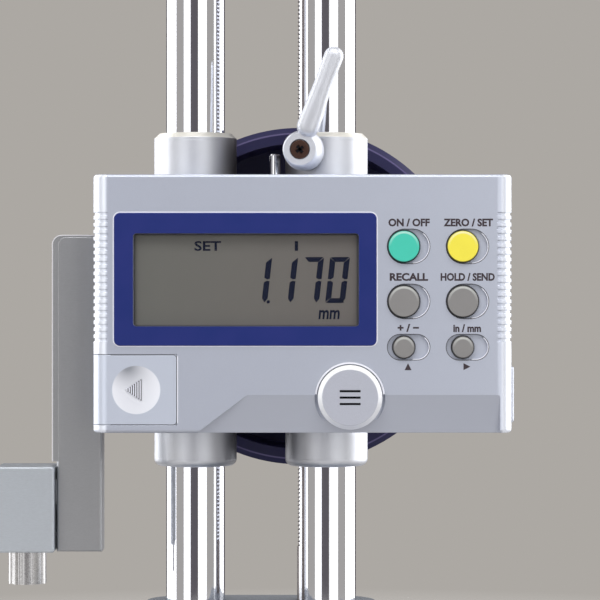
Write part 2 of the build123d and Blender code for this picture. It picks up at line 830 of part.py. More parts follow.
    # pilot holes for the screws
    with BuildSketch(facing(plate_front)):
        for boss_x, boss_z in boss_places:
            with Locations((boss_x, boss_z)):
                Circle(pilot_radius)
    extrude(amount=plate_front - inner_front - bevel_depth, mode=Mode.SUBTRACT)
front_cover.part.label = "front_cover"
export_step(front_cover.part, "parts/front_cover.step")

# Plate that closes the housing, carries its bushes and bolts to the casting
with BuildPart() as back_plate:
    with BuildSketch(facing(casting_front)):
        with Locations((housing_x, slider_z)):
            Rectangle(
                housing_width - 2 * housing_wall - 2 * part_gap,
                housing_height - 2 * housing_wall - 2 * part_gap,
            )
        with Locations((pinion_x, pinion_height), (pinion_x, encoder_height)):
            Circle(shaft_radius + moving_gap, mode=Mode.SUBTRACT)
        with Locations((knob_x, knob_height)):
            Circle(shaft_bush_radius, mode=Mode.SUBTRACT)
        for boss_x, boss_z in boss_places:
            with Locations((boss_x, boss_z)):
                Circle(housing_screw_radius + part_gap, mode=Mode.SUBTRACT)
    extrude(amount=plate_thickness)
    with BuildSketch(facing(casting_front)):
        for boss_x, boss_z in boss_places:
            with Locations((boss_x, boss_z)):
                Circle(screw_head_radius + part_gap)
    extrude(amount=plate_thickness / 2, mode=Mode.SUBTRACT)
back_plate.part.label = "back_plate"
export_step(back_plate.part, "parts/back_plate.step")

with BuildPart() as housing_screws:
    with BuildSketch(facing(casting_front)):
        for boss_x, boss_z in boss_places:
            with Locations((boss_x, boss_z)):
                Circle(screw_head_radius)
    extrude(amount=plate_thickness / 2)
    with BuildSketch(facing(casting_front - plate_thickness / 2)):
        for boss_x, boss_z in boss_places:
            with Locations((boss_x, boss_z)):
                Circle(housing_screw_radius)
    extrude(amount=8)
housing_screws.part.label = "housing_screws"
export_step(housing_screws.part, "parts/housing_screws.step")

# Bezel with the window in a rebate behind it
with BuildPart() as window_bezel:
    with BuildSketch(facing(housing_front + bezel_recess)):
        with Locations((bezel_x, slider_z + bezel_z)):
            RectangleRounded(bezel_width, bezel_height, bezel_corner)
    extrude(amount=bezel_recess + bezel_proud)
    fillet(window_bezel.faces().sort_by(Axis.Y)[0].edges(), 0.4)
    with BuildSketch(facing(housing_front + bezel_recess)):
        with Locations((window_x, slider_z + window_z)):
            RectangleRounded(window_width, window_height, window_corner)
    extrude(amount=bezel_recess + bezel_proud, mode=Mode.SUBTRACT)
    with BuildSketch(facing(housing_front + bezel_recess)):
        with Locations((window_x, slider_z + window_z)):
            RectangleRounded(window_width + 2 * window_lap, window_height + 2 * window_lap, window_corner)
    extrude(amount=window_thickness, mode=Mode.SUBTRACT)
window_bezel.part.label = "window_bezel"
export_step(window_bezel.part, "parts/window_bezel.step")

with BuildPart() as display_window:
    with BuildSketch(facing(housing_front + bezel_recess)):
        with Locations((window_x, slider_z + window_z)):
            RectangleRounded(
                window_width + 2 * window_lap - part_gap,
                window_height + 2 * window_lap - part_gap,
                window_corner,
            )
    extrude(amount=window_thickness)
display_window.part.label = "display_window"
export_step(display_window.part, "parts/display_window.step")

with BuildPart() as lcd_panel:
    with BuildSketch(facing(board_front)):
        with Locations((window_x, slider_z + window_z)):
            Rectangle(window_width + 2 * lcd_lap, window_height + 2 * lcd_lap)
    extrude(amount=lcd_thickness)
lcd_panel.part.label = "lcd_panel"
export_step(lcd_panel.part, "parts/lcd_panel.step")

# Circuit board with holes for the bosses and the knob shaft
with BuildPart() as display_board:
    with BuildSketch(facing(board_back)):
        with Locations((housing_x, slider_z)):
            Rectangle(
                housing_width - 2 * housing_wall - 2,
                housing_height - 2 * housing_wall - 2,
            )
        with Locations((knob_x, knob_height)):
            Circle(shaft_radius + 1, mode=Mode.SUBTRACT)
        for boss_x, boss_z in boss_places:
            with Locations((boss_x, boss_z)):
                Circle(boss_radius + part_gap, mode=Mode.SUBTRACT)
    extrude(amount=board_thickness)
display_board.part.label = "display_board"
export_step(display_board.part, "parts/display_board.step")

# Rubber key pad with one dome under each key
pad_front = board_front - pad_thickness
stem_end = pad_front - dome_height - key_travel - moving_gap / 3
with BuildPart() as key_pad:
    with BuildSketch(facing(board_front)):
        with Locations(((key_columns[0] + key_columns[1]) / 2, slider_z + (key_rows[0][0] + key_rows[-1][0]) / 2)):
            Rectangle(key_columns[1] - key_columns[0] + 14, key_rows[0][0] - key_rows[-1][0] + 12)
    extrude(amount=pad_thickness)
    with BuildSketch(facing(pad_front)):
        for key_name, key_x, key_z, key_radius, pocket_height in key_places:
            with Locations((key_x, key_z)):
                Circle(key_stem_radius + 0.4)
    extrude(amount=dome_height)
key_pad.part.label = "key_pad"
export_step(key_pad.part, "parts/key_pad.step")

# Six keys, each with a flange behind the front and a stem over its dome
for key_name, key_x, key_z, key_radius, pocket_height in key_places:
    flange_front = inner_front + part_gap
    with BuildPart() as button:
        with BuildSketch(facing(flange_front)):
            with Locations((key_x, key_z)):
                Circle(key_radius)
        extrude(amount=flange_front - housing_front + key_proud)
        fillet(button.edges().group_by(Axis.Y)[0], key_edge)
        with BuildSketch(facing(flange_front + key_flange)):
            with Locations((key_x, key_z)):
                Circle(key_radius + 0.8)
        extrude(amount=key_flange)
        with BuildSketch(facing(stem_end)):
            with Locations((key_x, key_z)):
                Circle(key_stem_radius)
        extrude(amount=stem_end - flange_front - key_flange)
    button.part.label = key_name
    export_step(button.part, f"parts/{key_name}.step")

# Coin cell in a holder on the board
cell_height = slider_z + cell_z
cell_front = housing_front + cover_skin + part_gap + 0.6
with BuildPart() as battery:
    with BuildSketch(facing(cell_front + cell_thickness)):
        with Locations((cell_x, cell_height)):
            Circle(cell_radius)
    extrude(amount=cell_thickness)
    fillet(battery.edges().filter_by(GeomType.CIRCLE), 0.5)
battery.part.label = "battery"
export_step(battery.part, "parts/battery.step")

with BuildPart() as battery_holder:
    with BuildSketch(facing(board_front)):
        with Locations((cell_x, cell_height)):
            Rectangle(2 * cell_radius + 2, 2 * cell_radius + 2)
    extrude(amount=board_front - inner_front - 1.2)
    with BuildSketch(facing(cell_front + cell_thickness)):
        with Locations((cell_x, cell_height)):
            Circle(cell_radius + part_gap)
    extrude(amount=cell_thickness, mode=Mode.SUBTRACT)
battery_holder.part.label = "battery_holder"
export_step(battery_holder.part, "parts/battery_holder.step")

# Battery cover: a skin that follows the front and the left side, with a thumb dimple
dimple_sphere = (dimple_radius**2 + dimple_depth**2) / (2 * dimple_depth)
with BuildPart() as battery_cover:
    with BuildSketch(Plane.XY.offset(slider_z + battery_cover_bottom + part_gap)):
        with BuildLine():
            housing_outline(0)
        make_face()
        with BuildLine():
            housing_outline(cover_skin)
        make_face(mode=Mode.SUBTRACT)
        with Locations((housing_left - 2, housing_front - 2)):
            Rectangle(
                battery_cover_right - part_gap - housing_left + 2,
                battery_cover_wrap - part_gap + 2,
                align=(Align.MIN, Align.MIN),
                mode=Mode.INTERSECT,
            )
    extrude(amount=battery_cover_top - battery_cover_bottom - 2 * part_gap)
    with Locations((cell_x, housing_front - dimple_sphere + dimple_depth, cell_height)):
        Sphere(dimple_sphere, mode=Mode.SUBTRACT)
battery_cover.part.label = "battery_cover"
export_step(battery_cover.part, "parts/battery_cover.step")

# Data socket on the back of the board, opening to the right, with two rows of pins
socket_front_x = housing_right - socket_cover_rebate - part_gap
with BuildPart() as data_connector:
    with BuildSketch(toward(socket_front_x - socket_length)):
        with Locations((socket_y, slider_z + socket_cover_z)):
            Rectangle(socket_width, socket_height)
    extrude(amount=socket_length)
    with BuildSketch(toward(socket_front_x - socket_length + socket_wall)):
        with Locations((socket_y, slider_z + socket_cover_z)):
            Rectangle(socket_width - 2 * socket_wall, socket_height - 2 * socket_wall)
    extrude(amount=socket_length, mode=Mode.SUBTRACT)
    with BuildSketch(toward(socket_front_x - socket_length)):
        with Locations((socket_y, slider_z + socket_cover_z)):
            with GridLocations(pin_pitch, pin_pitch, 2, 5):
                Rectangle(2 * pin_half, 2 * pin_half)
    extrude(amount=socket_length - 2)
data_connector.part.label = "data_connector"
export_step(data_connector.part, "parts/data_connector.step")

with BuildPart() as connector_cover:
    with BuildSketch(toward(housing_right - socket_cover_rebate)):
        with Locations((socket_y, slider_z + socket_cover_z)):
            RectangleRounded(socket_cover_width, socket_cover_height, 1)
    extrude(amount=socket_cover_rebate + socket_cover_proud)
    fillet(connector_cover.faces().sort_by(Axis.X)[-1].edges(), 0.6)
connector_cover.part.label = "connector_cover"
export_step(connector_cover.part, "parts/connector_cover.step")

# Rear gear cover: a deep cap with the rear bush of the wheel shaft
with BuildPart() as gear_cover:
    with BuildSketch(facing(gear_cover_back)):
        with Locations((gear_cover_x, slider_z + gear_cover_z)):
            RectangleRounded(gear_cover_width, gear_cover_height, gear_cover_corner)
    extrude(amount=gear_cover_depth)
    fillet(gear_cover.faces().sort_by(Axis.Y)[-1].edges(), gear_cover_wall)
    with BuildSketch(facing(gear_cover_back - gear_cover_wall)):
        with Locations((gear_cover_x, slider_z + gear_cover_z)):
            RectangleRounded(
                gear_cover_width - 2 * gear_cover_wall,
                gear_cover_height - 2 * gear_cover_wall,
                gear_cover_corner - gear_cover_wall,
            )
    extrude(amount=gear_cover_depth - gear_cover_wall, mode=Mode.SUBTRACT)
    with BuildSketch(facing(gear_cover_back)):
        with Locations((wheel_x, wheel_height)):
            Circle(wheel_bush_radius + gear_cover_wall)
    extrude(amount=journal_depth)
    with BuildSketch(facing(casting_rear + gear_cover_wall)):
        for screw_x, screw_z in gear_screw_places:
            with Locations((screw_x, screw_z)):
                Circle(boss_radius + 1)
    extrude(amount=gear_cover_wall)
    with BuildSketch(facing(gear_cover_back)):
        with Locations((wheel_x, wheel_height)):
            Circle(wheel_bush_radius)
    extrude(amount=journal_depth, mode=Mode.SUBTRACT)
    with BuildSketch(facing(casting_rear + gear_cover_wall)):
        for screw_x, screw_z in gear_screw_places:
            with Locations((screw_x, screw_z)):
                Circle(housing_screw_radius + locating_fit)
    extrude(amount=gear_cover_wall, mode=Mode.SUBTRACT)
gear_cover.part.label = "gear_cover"
export_step(gear_cover.part, "parts/gear_cover.step")

with BuildPart() as gear_cover_screws:
    with BuildSketch(facing(casting_rear + gear_cover_wall + 1.6)):
        for screw_x, screw_z in gear_screw_places:
            with Locations((screw_x, screw_z)):
                Circle(screw_head_radius)
    extrude(amount=1.6)
    with BuildSketch(facing(casting_rear + gear_cover_wall)):
        for screw_x, screw_z in gear_screw_places:
            with Locations((screw_x, screw_z)):
                Circle(housing_screw_radius)
    extrude(amount=gear_cover_wall + gear_screw_reach)
gear_cover_screws.part.label = "gear_cover_screws"
export_step(gear_cover_screws.part, "parts/gear_cover_screws.step")

# Pinion shaft: the rack pinion in the cavity, the driven gear behind and the fine feed gear in front
with BuildPart() as pinion_shaft:
    with BuildSketch(facing(driven_gear_back)):
        with Locations((pinion_x, pinion_height)):
            Circle(shaft_radius)
    extrude(amount=driven_gear_back - fine_gear_back + fine_face)
    chamfer(pinion_shaft.edges().filter_by(GeomType.CIRCLE), 0.4)
pinion_shaft.part.label = "pinion_shaft"
export_step(pinion_shaft.part, "parts/pinion_shaft.step")

with BuildPart() as rack_pinion:
    with BuildSketch(facing(pinion_half_face)):
        with Locations((pinion_x, pinion_height)):
            Polygon(*gear_outline(pinion_teeth, rack_module, 0), align=None)
            Circle(shaft_radius + locating_fit, mode=Mode.SUBTRACT)
    extrude(amount=2 * pinion_half_face)
rack_pinion.part.label = "rack_pinion"
export_step(rack_pinion.part, "parts/rack_pinion.step")

to_wheel = direction(pinion_x, pinion_height, wheel_x, wheel_height)
to_knob = direction(pinion_x, pinion_height, knob_x, knob_height)
with BuildPart() as driven_gear:
    with BuildSketch(facing(driven_gear_back)):
        with Locations((pinion_x, pinion_height)):
            Polygon(*gear_outline(driven_teeth, gear_module, to_wheel), align=None)
            Circle(shaft_radius + locating_fit, mode=Mode.SUBTRACT)
    extrude(amount=gear_face)
driven_gear.part.label = "driven_gear"
export_step(driven_gear.part, "parts/driven_gear.step")

with BuildPart() as fine_gear:
    with BuildSketch(facing(fine_gear_back)):
        with Locations((pinion_x, pinion_height)):
            Polygon(*gear_outline(fine_gear_teeth, gear_module, to_knob), align=None)
            Circle(shaft_radius + locating_fit, mode=Mode.SUBTRACT)
    extrude(amount=fine_face)
fine_gear.part.label = "fine_gear"
export_step(fine_gear.part, "parts/fine_gear.step")

# Encoder: its own pinion on the rack, and a slotted rotor beside a sensor ring
with BuildPart() as encoder_pinion:
    with BuildSketch(facing(pinion_half_face)):
        with Locations((pinion_x, encoder_height)):
            Polygon(*gear_outline(pinion_teeth, rack_module, 0), align=None)
    extrude(amount=2 * pinion_half_face)
    with BuildSketch(facing(cavity_half + journal_depth - 0.3)):
        with Locations((pinion_x, encoder_height)):
            Circle(shaft_radius)
    extrude(amount=cavity_half + journal_depth - 0.3 - rotor_back + rotor_thickness)
encoder_pinion.part.label = "encoder_pinion"
export_step(encoder_pinion.part, "parts/encoder_pinion.step")

with BuildPart() as encoder_rotor:
    with BuildSketch(facing(rotor_back)):
        with Locations((pinion_x, encoder_height)):
            Circle(rotor_radius)
            Circle(shaft_radius + locating_fit, mode=Mode.SUBTRACT)
            with PolarLocations(rotor_radius * 0.72, rotor_windows):
                Rectangle(rotor_radius * 0.3, 1.6, mode=Mode.SUBTRACT)
    extrude(amount=rotor_thickness)
encoder_rotor.part.label = "encoder_rotor"
export_step(encoder_rotor.part, "parts/encoder_rotor.step")

with BuildPart() as encoder_stator:
    stator_back = rotor_back - rotor_thickness - moving_gap
    with BuildSketch(facing(stator_back)):
        with Locations((pinion_x, encoder_height)):
            Circle(rotor_radius + 1)
            Circle(shaft_radius + 1, mode=Mode.SUBTRACT)
    extrude(amount=1.2)
    with BuildSketch(facing(stator_back - 1.2)):
        with Locations((pinion_x, encoder_height)):
            with PolarLocations(rotor_radius - 1, 3):
                Circle(1.4)
    extrude(amount=stator_back - 1.2 - board_back)
encoder_stator.part.label = "encoder_stator"
export_step(encoder_stator.part, "parts/encoder_stator.step")

# Handwheel: a dished wheel open to the front, turned about its shaft
with BuildPart() as handwheel:
    with BuildSketch(Plane(origin=(wheel_x, 0, wheel_height), x_dir=(1, 0, 0), z_dir=(0, 0, 1))):
        with BuildLine():
            Polyline(
                (wheel_radius - rim_wall, rim_front_y),
                (wheel_radius - rim_chamfer, rim_front_y),
                (wheel_radius, rim_front_y + rim_chamfer),
                (wheel_radius, rim_back - rim_chamfer),
                (wheel_radius - rim_chamfer, rim_back),
                (wheel_shaft_radius + locating_fit, rim_back),
                (wheel_shaft_radius + locating_fit, hub_front),
                (hub_radius, hub_front),
                (hub_radius + 1, web_front),
                (wheel_radius - rim_wall - 1, web_front),
                close=True,
            )
        make_face()
    revolve(axis=Axis((wheel_x, 0, wheel_height), (0, 1, 0)), revolution_arc=360)
    with BuildSketch(facing(rim_back)):
        with Locations((finger_x, finger_height)):
            Circle(finger_pin_radius + locating_fit)
    extrude(amount=web_wall, mode=Mode.SUBTRACT)
handwheel.part.label = "handwheel"
export_step(handwheel.part, "parts/handwheel.step")

with BuildPart() as wheel_shaft:
    with BuildSketch(facing(rim_back - 0.5)):
        with Locations((wheel_x, wheel_height)):
            Circle(wheel_shaft_radius)
    extrude(amount=rim_back - 0.5 - casting_rear + journal_depth - 0.2)
    chamfer(wheel_shaft.edges().group_by(Axis.Y)[0], 0.4)
wheel_shaft.part.label = "wheel_shaft"
export_step(wheel_shaft.part, "parts/wheel_shaft.step")

with BuildPart() as wheel_gear:
    with BuildSketch(facing(driven_gear_back)):
        with Locations((wheel_x, wheel_height)):
            Polygon(*gear_outline(wheel_gear_teeth, gear_module, to_wheel + 180 + 180 / wheel_gear_teeth), align=None)
            Circle(wheel_shaft_radius + locating_fit, mode=Mode.SUBTRACT)
    extrude(amount=gear_face)
wheel_gear.part.label = "wheel_gear"
export_step(wheel_gear.part, "parts/wheel_gear.step")

with BuildPart() as hub_screw:
    with BuildSketch(facing(rim_back + hub_screw_height)):
        with Locations((wheel_x, wheel_height)):
            Circle(hub_screw_radius)
    extrude(amount=hub_screw_height)
    fillet(hub_screw.edges().group_by(Axis.Y)[-1], 0.8)
    with BuildSketch(facing(rim_back + hub_screw_height)):
        with Locations((wheel_x, wheel_height)):
            RegularPolygon(hub_screw_radius * 0.35, 6)
    extrude(amount=hub_screw_height / 2, mode=Mode.SUBTRACT)
hub_screw.part.label = "hub_screw"
export_step(hub_screw.part, "parts/hub_screw.step")

# Finger knob turning freely on a headed pin
with BuildPart() as knob_pin:
    with BuildSketch(facing(rim_back + moving_gap + finger_knob_length + 1.5)):
        with Locations((finger_x, finger_height)):
            Circle(finger_pin_radius)
    extrude(amount=web_wall + moving_gap + finger_knob_length + 1.5)
    with BuildSketch(facing(rim_back + moving_gap + finger_knob_length + 1.5)):
        with Locations((finger_x, finger_height)):
            Circle(finger_pin_radius + 1.6)
    extrude(amount=1.5 - moving_gap)
knob_pin.part.label = "knob_pin"
export_step(knob_pin.part, "parts/knob_pin.step")

with BuildPart() as finger_knob:
    knob_start = rim_back + moving_gap
    knob_end = knob_start + finger_knob_length
    with BuildSketch(Plane(origin=(finger_x, 0, finger_height), x_dir=(1, 0, 0), z_dir=(0, 0, 1))):
        with BuildLine():
            Line((finger_pin_radius + running_fit, knob_end), (finger_pin_radius + running_fit, knob_start))
            Line((finger_pin_radius + running_fit, knob_start), (6.5, knob_start))
            Spline((6.5, knob_start), (6.0, knob_start + 5), (9.0, knob_end - 6), (6.5, knob_end))
            Line((6.5, knob_end), (finger_pin_radius + running_fit, knob_end))
        make_face()
    revolve(axis=Axis((finger_x, 0, finger_height), (0, 1, 0)), revolution_arc=360)
finger_knob.part.label = "finger_knob"
export_step(finger_knob.part, "parts/finger_knob.step")

# Fine feed knob, its shaft and the pinion that turns the fine feed gear
knob_back = housing_front + knob_pocket_depth - moving_gap
with BuildPart() as fine_knob:
    with BuildSketch(facing(knob_back)):
        with Locations((knob_x, knob_height)):
            Circle(knob_radius)
    extrude(amount=knob_back - housing_front + knob_proud)
    chamfer(fine_knob.edges().group_by(Axis.Y)[0], knob_chamfer)
    with BuildSketch(facing(knob_back)):
        with Locations((knob_x, knob_height)):
            Circle(shaft_radius + locating_fit)
    extrude(amount=3, mode=Mode.SUBTRACT)
fine_knob.part.label = "fine_knob"
export_step(fine_knob.part, "parts/fine_knob.step")

with BuildPart() as fine_shaft:
    with BuildSketch(facing(casting_front - 0.2)):
        with Locations((knob_x, knob_height)):
            Circle(shaft_radius)
    extrude(amount=casting_front - 0.2 - knob_back + 2.9)
    with BuildSketch(facing(fine_gear_back)):
        with Locations((knob_x, knob_height)):
            Polygon(
                *gear_outline(fine_pinion_teeth, gear_module, to_knob + 180 + 180 / fine_pinion_teeth),
                align=None,
            )
    extrude(amount=fine_face)
fine_shaft.part.label = "fine_shaft"
export_step(fine_shaft.part, "parts/fine_shaft.step")

# Clamp lever: hub, leaning arm, spindle and the shoe that presses on the column
clamp_height = slider_z + clamp_z
hub_back = -(collar_radius + clamp_boss_reach + moving_gap)
lever_front = hub_back - lever_height
lever_path = ThreePointArc(
    (clamp_x, clamp_height),
    (clamp_x + lever_bow, clamp_height + lever_reach / 2),
    (clamp_x + lever_lean, clamp_height + lever_reach),
)
with BuildPart() as clamp_lever:
    with BuildSketch(facing(hub_back)):
        with Locations((clamp_x, clamp_height)):
            Circle(lever_base_radius)
    extrude(amount=lever_base_height)
    with BuildSketch(facing(hub_back - lever_base_height)):
        with Locations((clamp_x, clamp_height)):
            Circle(lever_front_radius)
    extrude(amount=lever_height - lever_base_height)
    fillet(clamp_lever.edges().group_by(Axis.Y)[0], 0.8)
    with BuildSketch(facing(hub_back - lever_base_height)):
        SlotArc(arc=lever_path, height=lever_width)
    extrude(amount=lever_thickness)
    with BuildSketch(facing(lever_front + 1.5)):
        with Locations((clamp_x, clamp_height)):
            Circle(lever_screw_radius + locating_fit)
    extrude(amount=2, mode=Mode.SUBTRACT)
    with BuildSketch(facing(hub_back)):
        with Locations((clamp_x, clamp_height)):
            Circle(spindle_radius + locating_fit)
    extrude(amount=lever_height - 3, mode=Mode.SUBTRACT)
clamp_lever.part.label = "clamp_lever"
export_step(clamp_lever.part, "parts/clamp_lever.step")

with BuildPart() as lever_screw:
    with BuildSketch(facing(lever_front + 1.5)):
        with Locations((clamp_x, clamp_height)):
            Circle(lever_screw_radius)
    extrude(amount=1.2)
    fillet(lever_screw.edges().group_by(Axis.Y)[0], 0.4)
    with BuildSketch(facing(lever_front)):
        with Locations((clamp_x, clamp_height)):
            Rectangle(lever_screw_radius, 0.9, rotation=screw_slot_angle)
            Rectangle(0.9, lever_screw_radius, rotation=screw_slot_angle)
    extrude(amount=-1.2, mode=Mode.SUBTRACT)
lever_screw.part.label = "lever_screw"
export_step(lever_screw.part, "parts/lever_screw.step")

column_at_clamp = -math.sqrt(column_radius**2 - (right_x - clamp_x - spindle_radius) ** 2)
shoe_front = column_at_clamp - part_gap - shoe_thickness
with BuildPart() as clamp_spindle:
    with BuildSketch(facing(shoe_front - running_fit)):
        with Locations((clamp_x, clamp_height)):
            Circle(spindle_radius)
    extrude(amount=shoe_front - running_fit - lever_front - 3.2)
clamp_spindle.part.label = "clamp_spindle"
export_step(clamp_spindle.part, "parts/clamp_spindle.step")

with BuildPart() as clamp_shoe:
    with BuildSketch(facing(shoe_front + 4 * shoe_thickness)):
        with Locations((clamp_x, clamp_height)):
            Circle(spindle_radius - part_gap)
    extrude(amount=4 * shoe_thickness)
    with BuildSketch(Plane.XY.offset(clamp_height - spindle_radius)):
        with Locations((right_x, 0)):
            Circle(column_radius + part_gap)
    extrude(amount=2 * spindle_radius, mode=Mode.SUBTRACT)
clamp_shoe.part.label = "clamp_shoe"
export_step(clamp_shoe.part, "parts/clamp_shoe.step")

with BuildPart() as probe_terminal:
    with BuildSketch(Plane.XY.offset(slider_z + block_half_height)):
        with Locations((terminal_x, terminal_y)):
            Circle(terminal_radius)
    extrude(amount=terminal_top - block_half_height)
    with BuildSketch(Plane.XY.offset(slider_z + block_half_height)):
        with Locations((terminal_x, terminal_y)):
            Circle(terminal_radius + 1)
    extrude(amount=1.2)
    fillet(probe_terminal.edges().group_by(Axis.Z)[-1], 0.5)
probe_terminal.part.label = "probe_terminal"
export_step(probe_terminal.part, "parts/probe_terminal.step")

# Arm on the casting's lug, with the square jaw bar at its foot
jaw_height = slider_z + jaw_top - square_bar
screw_heights = (slider_z + lug_top - 8, slider_z + (lug_top + lug_bottom) / 2, slider_z + lug_bottom + 8)
with BuildPart() as scriber_arm:
    with BuildSketch(facing(arm_y + arm_thickness / 2)):
        with BuildLine():
            Polyline(
                (arm_left, slider_z + arm_top - arm_corner),
                (arm_left, slider_z + arm_bottom),
                (arm_right, slider_z + arm_bottom),
                (arm_right, slider_z + arm_top),
                (arm_left + arm_corner, slider_z + arm_top),
            )
            ThreePointArc(
                (arm_left + arm_corner, slider_z + arm_top),
                (
                    arm_left + arm_corner * (1 - math.sqrt(0.5)),
                    slider_z + arm_top - arm_corner * (1 - math.sqrt(0.5)),
                ),
                (arm_left, slider_z + arm_top - arm_corner),
            )
        make_face()
    extrude(amount=arm_thickness)
    chamfer(scriber_arm.faces().sort_by(Axis.Y)[0].edges(), 0.6)
    with BuildSketch(Plane.XY.offset(jaw_height)):
        with Locations((arm_left, arm_y)):
            Rectangle(jaw_length, square_bar, align=(Align.MAX, Align.CENTER))
    extrude(amount=square_bar)
    for screw_height in screw_heights:
        with BuildSketch(toward(arm_left)):
            with Locations((arm_y, screw_height)):
                Circle(arm_screw_head + part_gap)
        extrude(amount=arm_screw_head_height + 1, mode=Mode.SUBTRACT)
        with BuildSketch(toward(arm_left)):
            with Locations((arm_y, screw_height)):
                Circle(arm_screw_radius + part_gap)
        extrude(amount=arm_width, mode=Mode.SUBTRACT)
scriber_arm.part.label = "scriber_arm"
export_step(scriber_arm.part, "parts/scriber_arm.step")

with BuildPart() as arm_screws:
    for screw_height in screw_heights:
        with BuildSketch(toward(arm_left + 1)):
            with Locations((arm_y, screw_height)):
                Circle(arm_screw_head)
        extrude(amount=arm_screw_head_height)
        with BuildSketch(toward(arm_left + 1 + arm_screw_head_height)):
            with Locations((arm_y, screw_height)):
                Circle(arm_screw_radius)
        extrude(amount=arm_width - arm_screw_head_height - 1)
        with BuildSketch(toward(arm_left + 1)):
            with Locations((arm_y, screw_height)):
                RegularPolygon(arm_screw_radius * 0.9, 6)
        extrude(amount=arm_screw_head_height / 2, mode=Mode.SUBTRACT)
arm_screws.part.label = "arm_screws"
export_step(arm_screws.part, "parts/arm_screws.step")

# Clamp frame round the jaw bar and the scriber
frame_right = arm_left - clamp_frame_gap
frame_x = frame_right - clamp_frame_width / 2
scriber_top = jaw_height - scriber_gap
scriber_bottom = scriber_top - square_bar
pad_top = scriber_bottom - scriber_gap
frame_floor = pad_top - pad_height
with BuildPart() as scriber_clamp:
    with BuildSketch(facing(arm_y + square_bar / 2 + clamp_frame_wall)):
        with Locations((frame_x, slider_z + (clamp_frame_top + clamp_frame_bottom) / 2)):
            Rectangle(clamp_frame_width, clamp_frame_top - clamp_frame_bottom)
    extrude(amount=square_bar + 2 * clamp_frame_wall)
    chamfer(scriber_clamp.edges(), 0.5)
    with BuildSketch(toward(frame_right - clamp_frame_width)):
        with Locations((arm_y, (jaw_height + square_bar + frame_floor) / 2)):
            Rectangle(square_bar + 2 * scriber_gap, jaw_height + square_bar - frame_floor)
    extrude(amount=clamp_frame_width, mode=Mode.SUBTRACT)
    with BuildSketch(Plane.XY.offset(slider_z + clamp_frame_bottom)):
        with Locations((frame_x, arm_y)):
            Circle(arm_screw_radius + running_fit)
    extrude(amount=frame_floor - slider_z - clamp_frame_bottom, mode=Mode.SUBTRACT)
scriber_clamp.part.label = "scriber_clamp"
export_step(scriber_clamp.part, "parts/scriber_clamp.step")

with BuildPart() as clamp_pad:
    with BuildSketch(Plane.XY.offset(frame_floor)):
        with Locations((frame_x, arm_y)):
            Rectangle(clamp_frame_width - 2, square_bar - part_gap)
    extrude(amount=pad_height)
clamp_pad.part.label = "clamp_pad"
export_step(clamp_pad.part, "parts/clamp_pad.step")

thumb_top = slider_z + clamp_frame_bottom - moving_gap
with BuildPart() as scriber_screw:
    with BuildSketch(Plane.XY.offset(thumb_top - thumb_height)):
        with Locations((frame_x, arm_y)):
            Circle(thumb_radius)
            with PolarLocations(thumb_radius + 0.6, thumb_flutes):
                Circle(1.2, mode=Mode.SUBTRACT)
    extrude(amount=thumb_height)
    with BuildSketch(Plane.XY.offset(thumb_top)):
        with Locations((frame_x, arm_y)):
            Circle(arm_screw_radius)
    extrude(amount=frame_floor - running_fit - thumb_top)
scriber_screw.part.label = "scriber_screw"
export_step(scriber_screw.part, "parts/scriber_screw.step")

# Scriber: a square shank that steps down to a carbide tip level with the base at zero
tip_bottom = slider_z - zero_height
tip_top = tip_bottom + tip_thickness
with BuildPart() as scriber:
    with BuildSketch(facing(arm_y + square_bar / 2)):
        with BuildLine():
            Polyline(
                (scriber_right, scriber_bottom),
                (scriber_right, scriber_top),
                (scriber_bend, scriber_top),
                (scriber_nose, tip_top + tip_thickness),
                (scriber_nose, tip_top),
                (scriber_nose + 14, tip_top),
                (scriber_bend + 8, scriber_bottom),
                close=True,
            )
        make_face()
    extrude(amount=square_bar)
    with BuildSketch(Plane.XY.offset(tip_top)):
        for side in (-1, 1):
            with BuildLine():
                Polyline(
                    (scriber_bend - 4, arm_y + side * square_bar / 2),
                    (scriber_nose - 1, arm_y + side * nose_half_width),
                    (scriber_nose - 1, arm_y + side * square_bar),
                    (scriber_bend - 4, arm_y + side * square_bar),
                    close=True,
                )
            make_face()
    extrude(amount=scriber_top - tip_top, mode=Mode.SUBTRACT)
scriber.part.label = "scriber"
export_step(scriber.part, "parts/scriber.step")

with BuildPart() as carbide_tip:
    with BuildSketch(Plane.XY.offset(tip_bottom)):
        with BuildLine():
            Polyline(
                (scriber_nose - 2, arm_y - 0.4),
                (scriber_nose + 12, arm_y - tip_half_width),
                (scriber_nose + 12, arm_y + tip_half_width),
                (scriber_nose - 2, arm_y + 0.4),
                close=True,
            )
        make_face()
    extrude(amount=tip_thickness)
carbide_tip.part.label = "carbide_tip"
export_step(carbide_tip.part, "parts/carbide_tip.step")
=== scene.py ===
"""Looks of the height gauge: finishes, thin added pieces, camera, light and floor over its CAD frame."""

import math

import bpy
from mathutils import Matrix, Vector


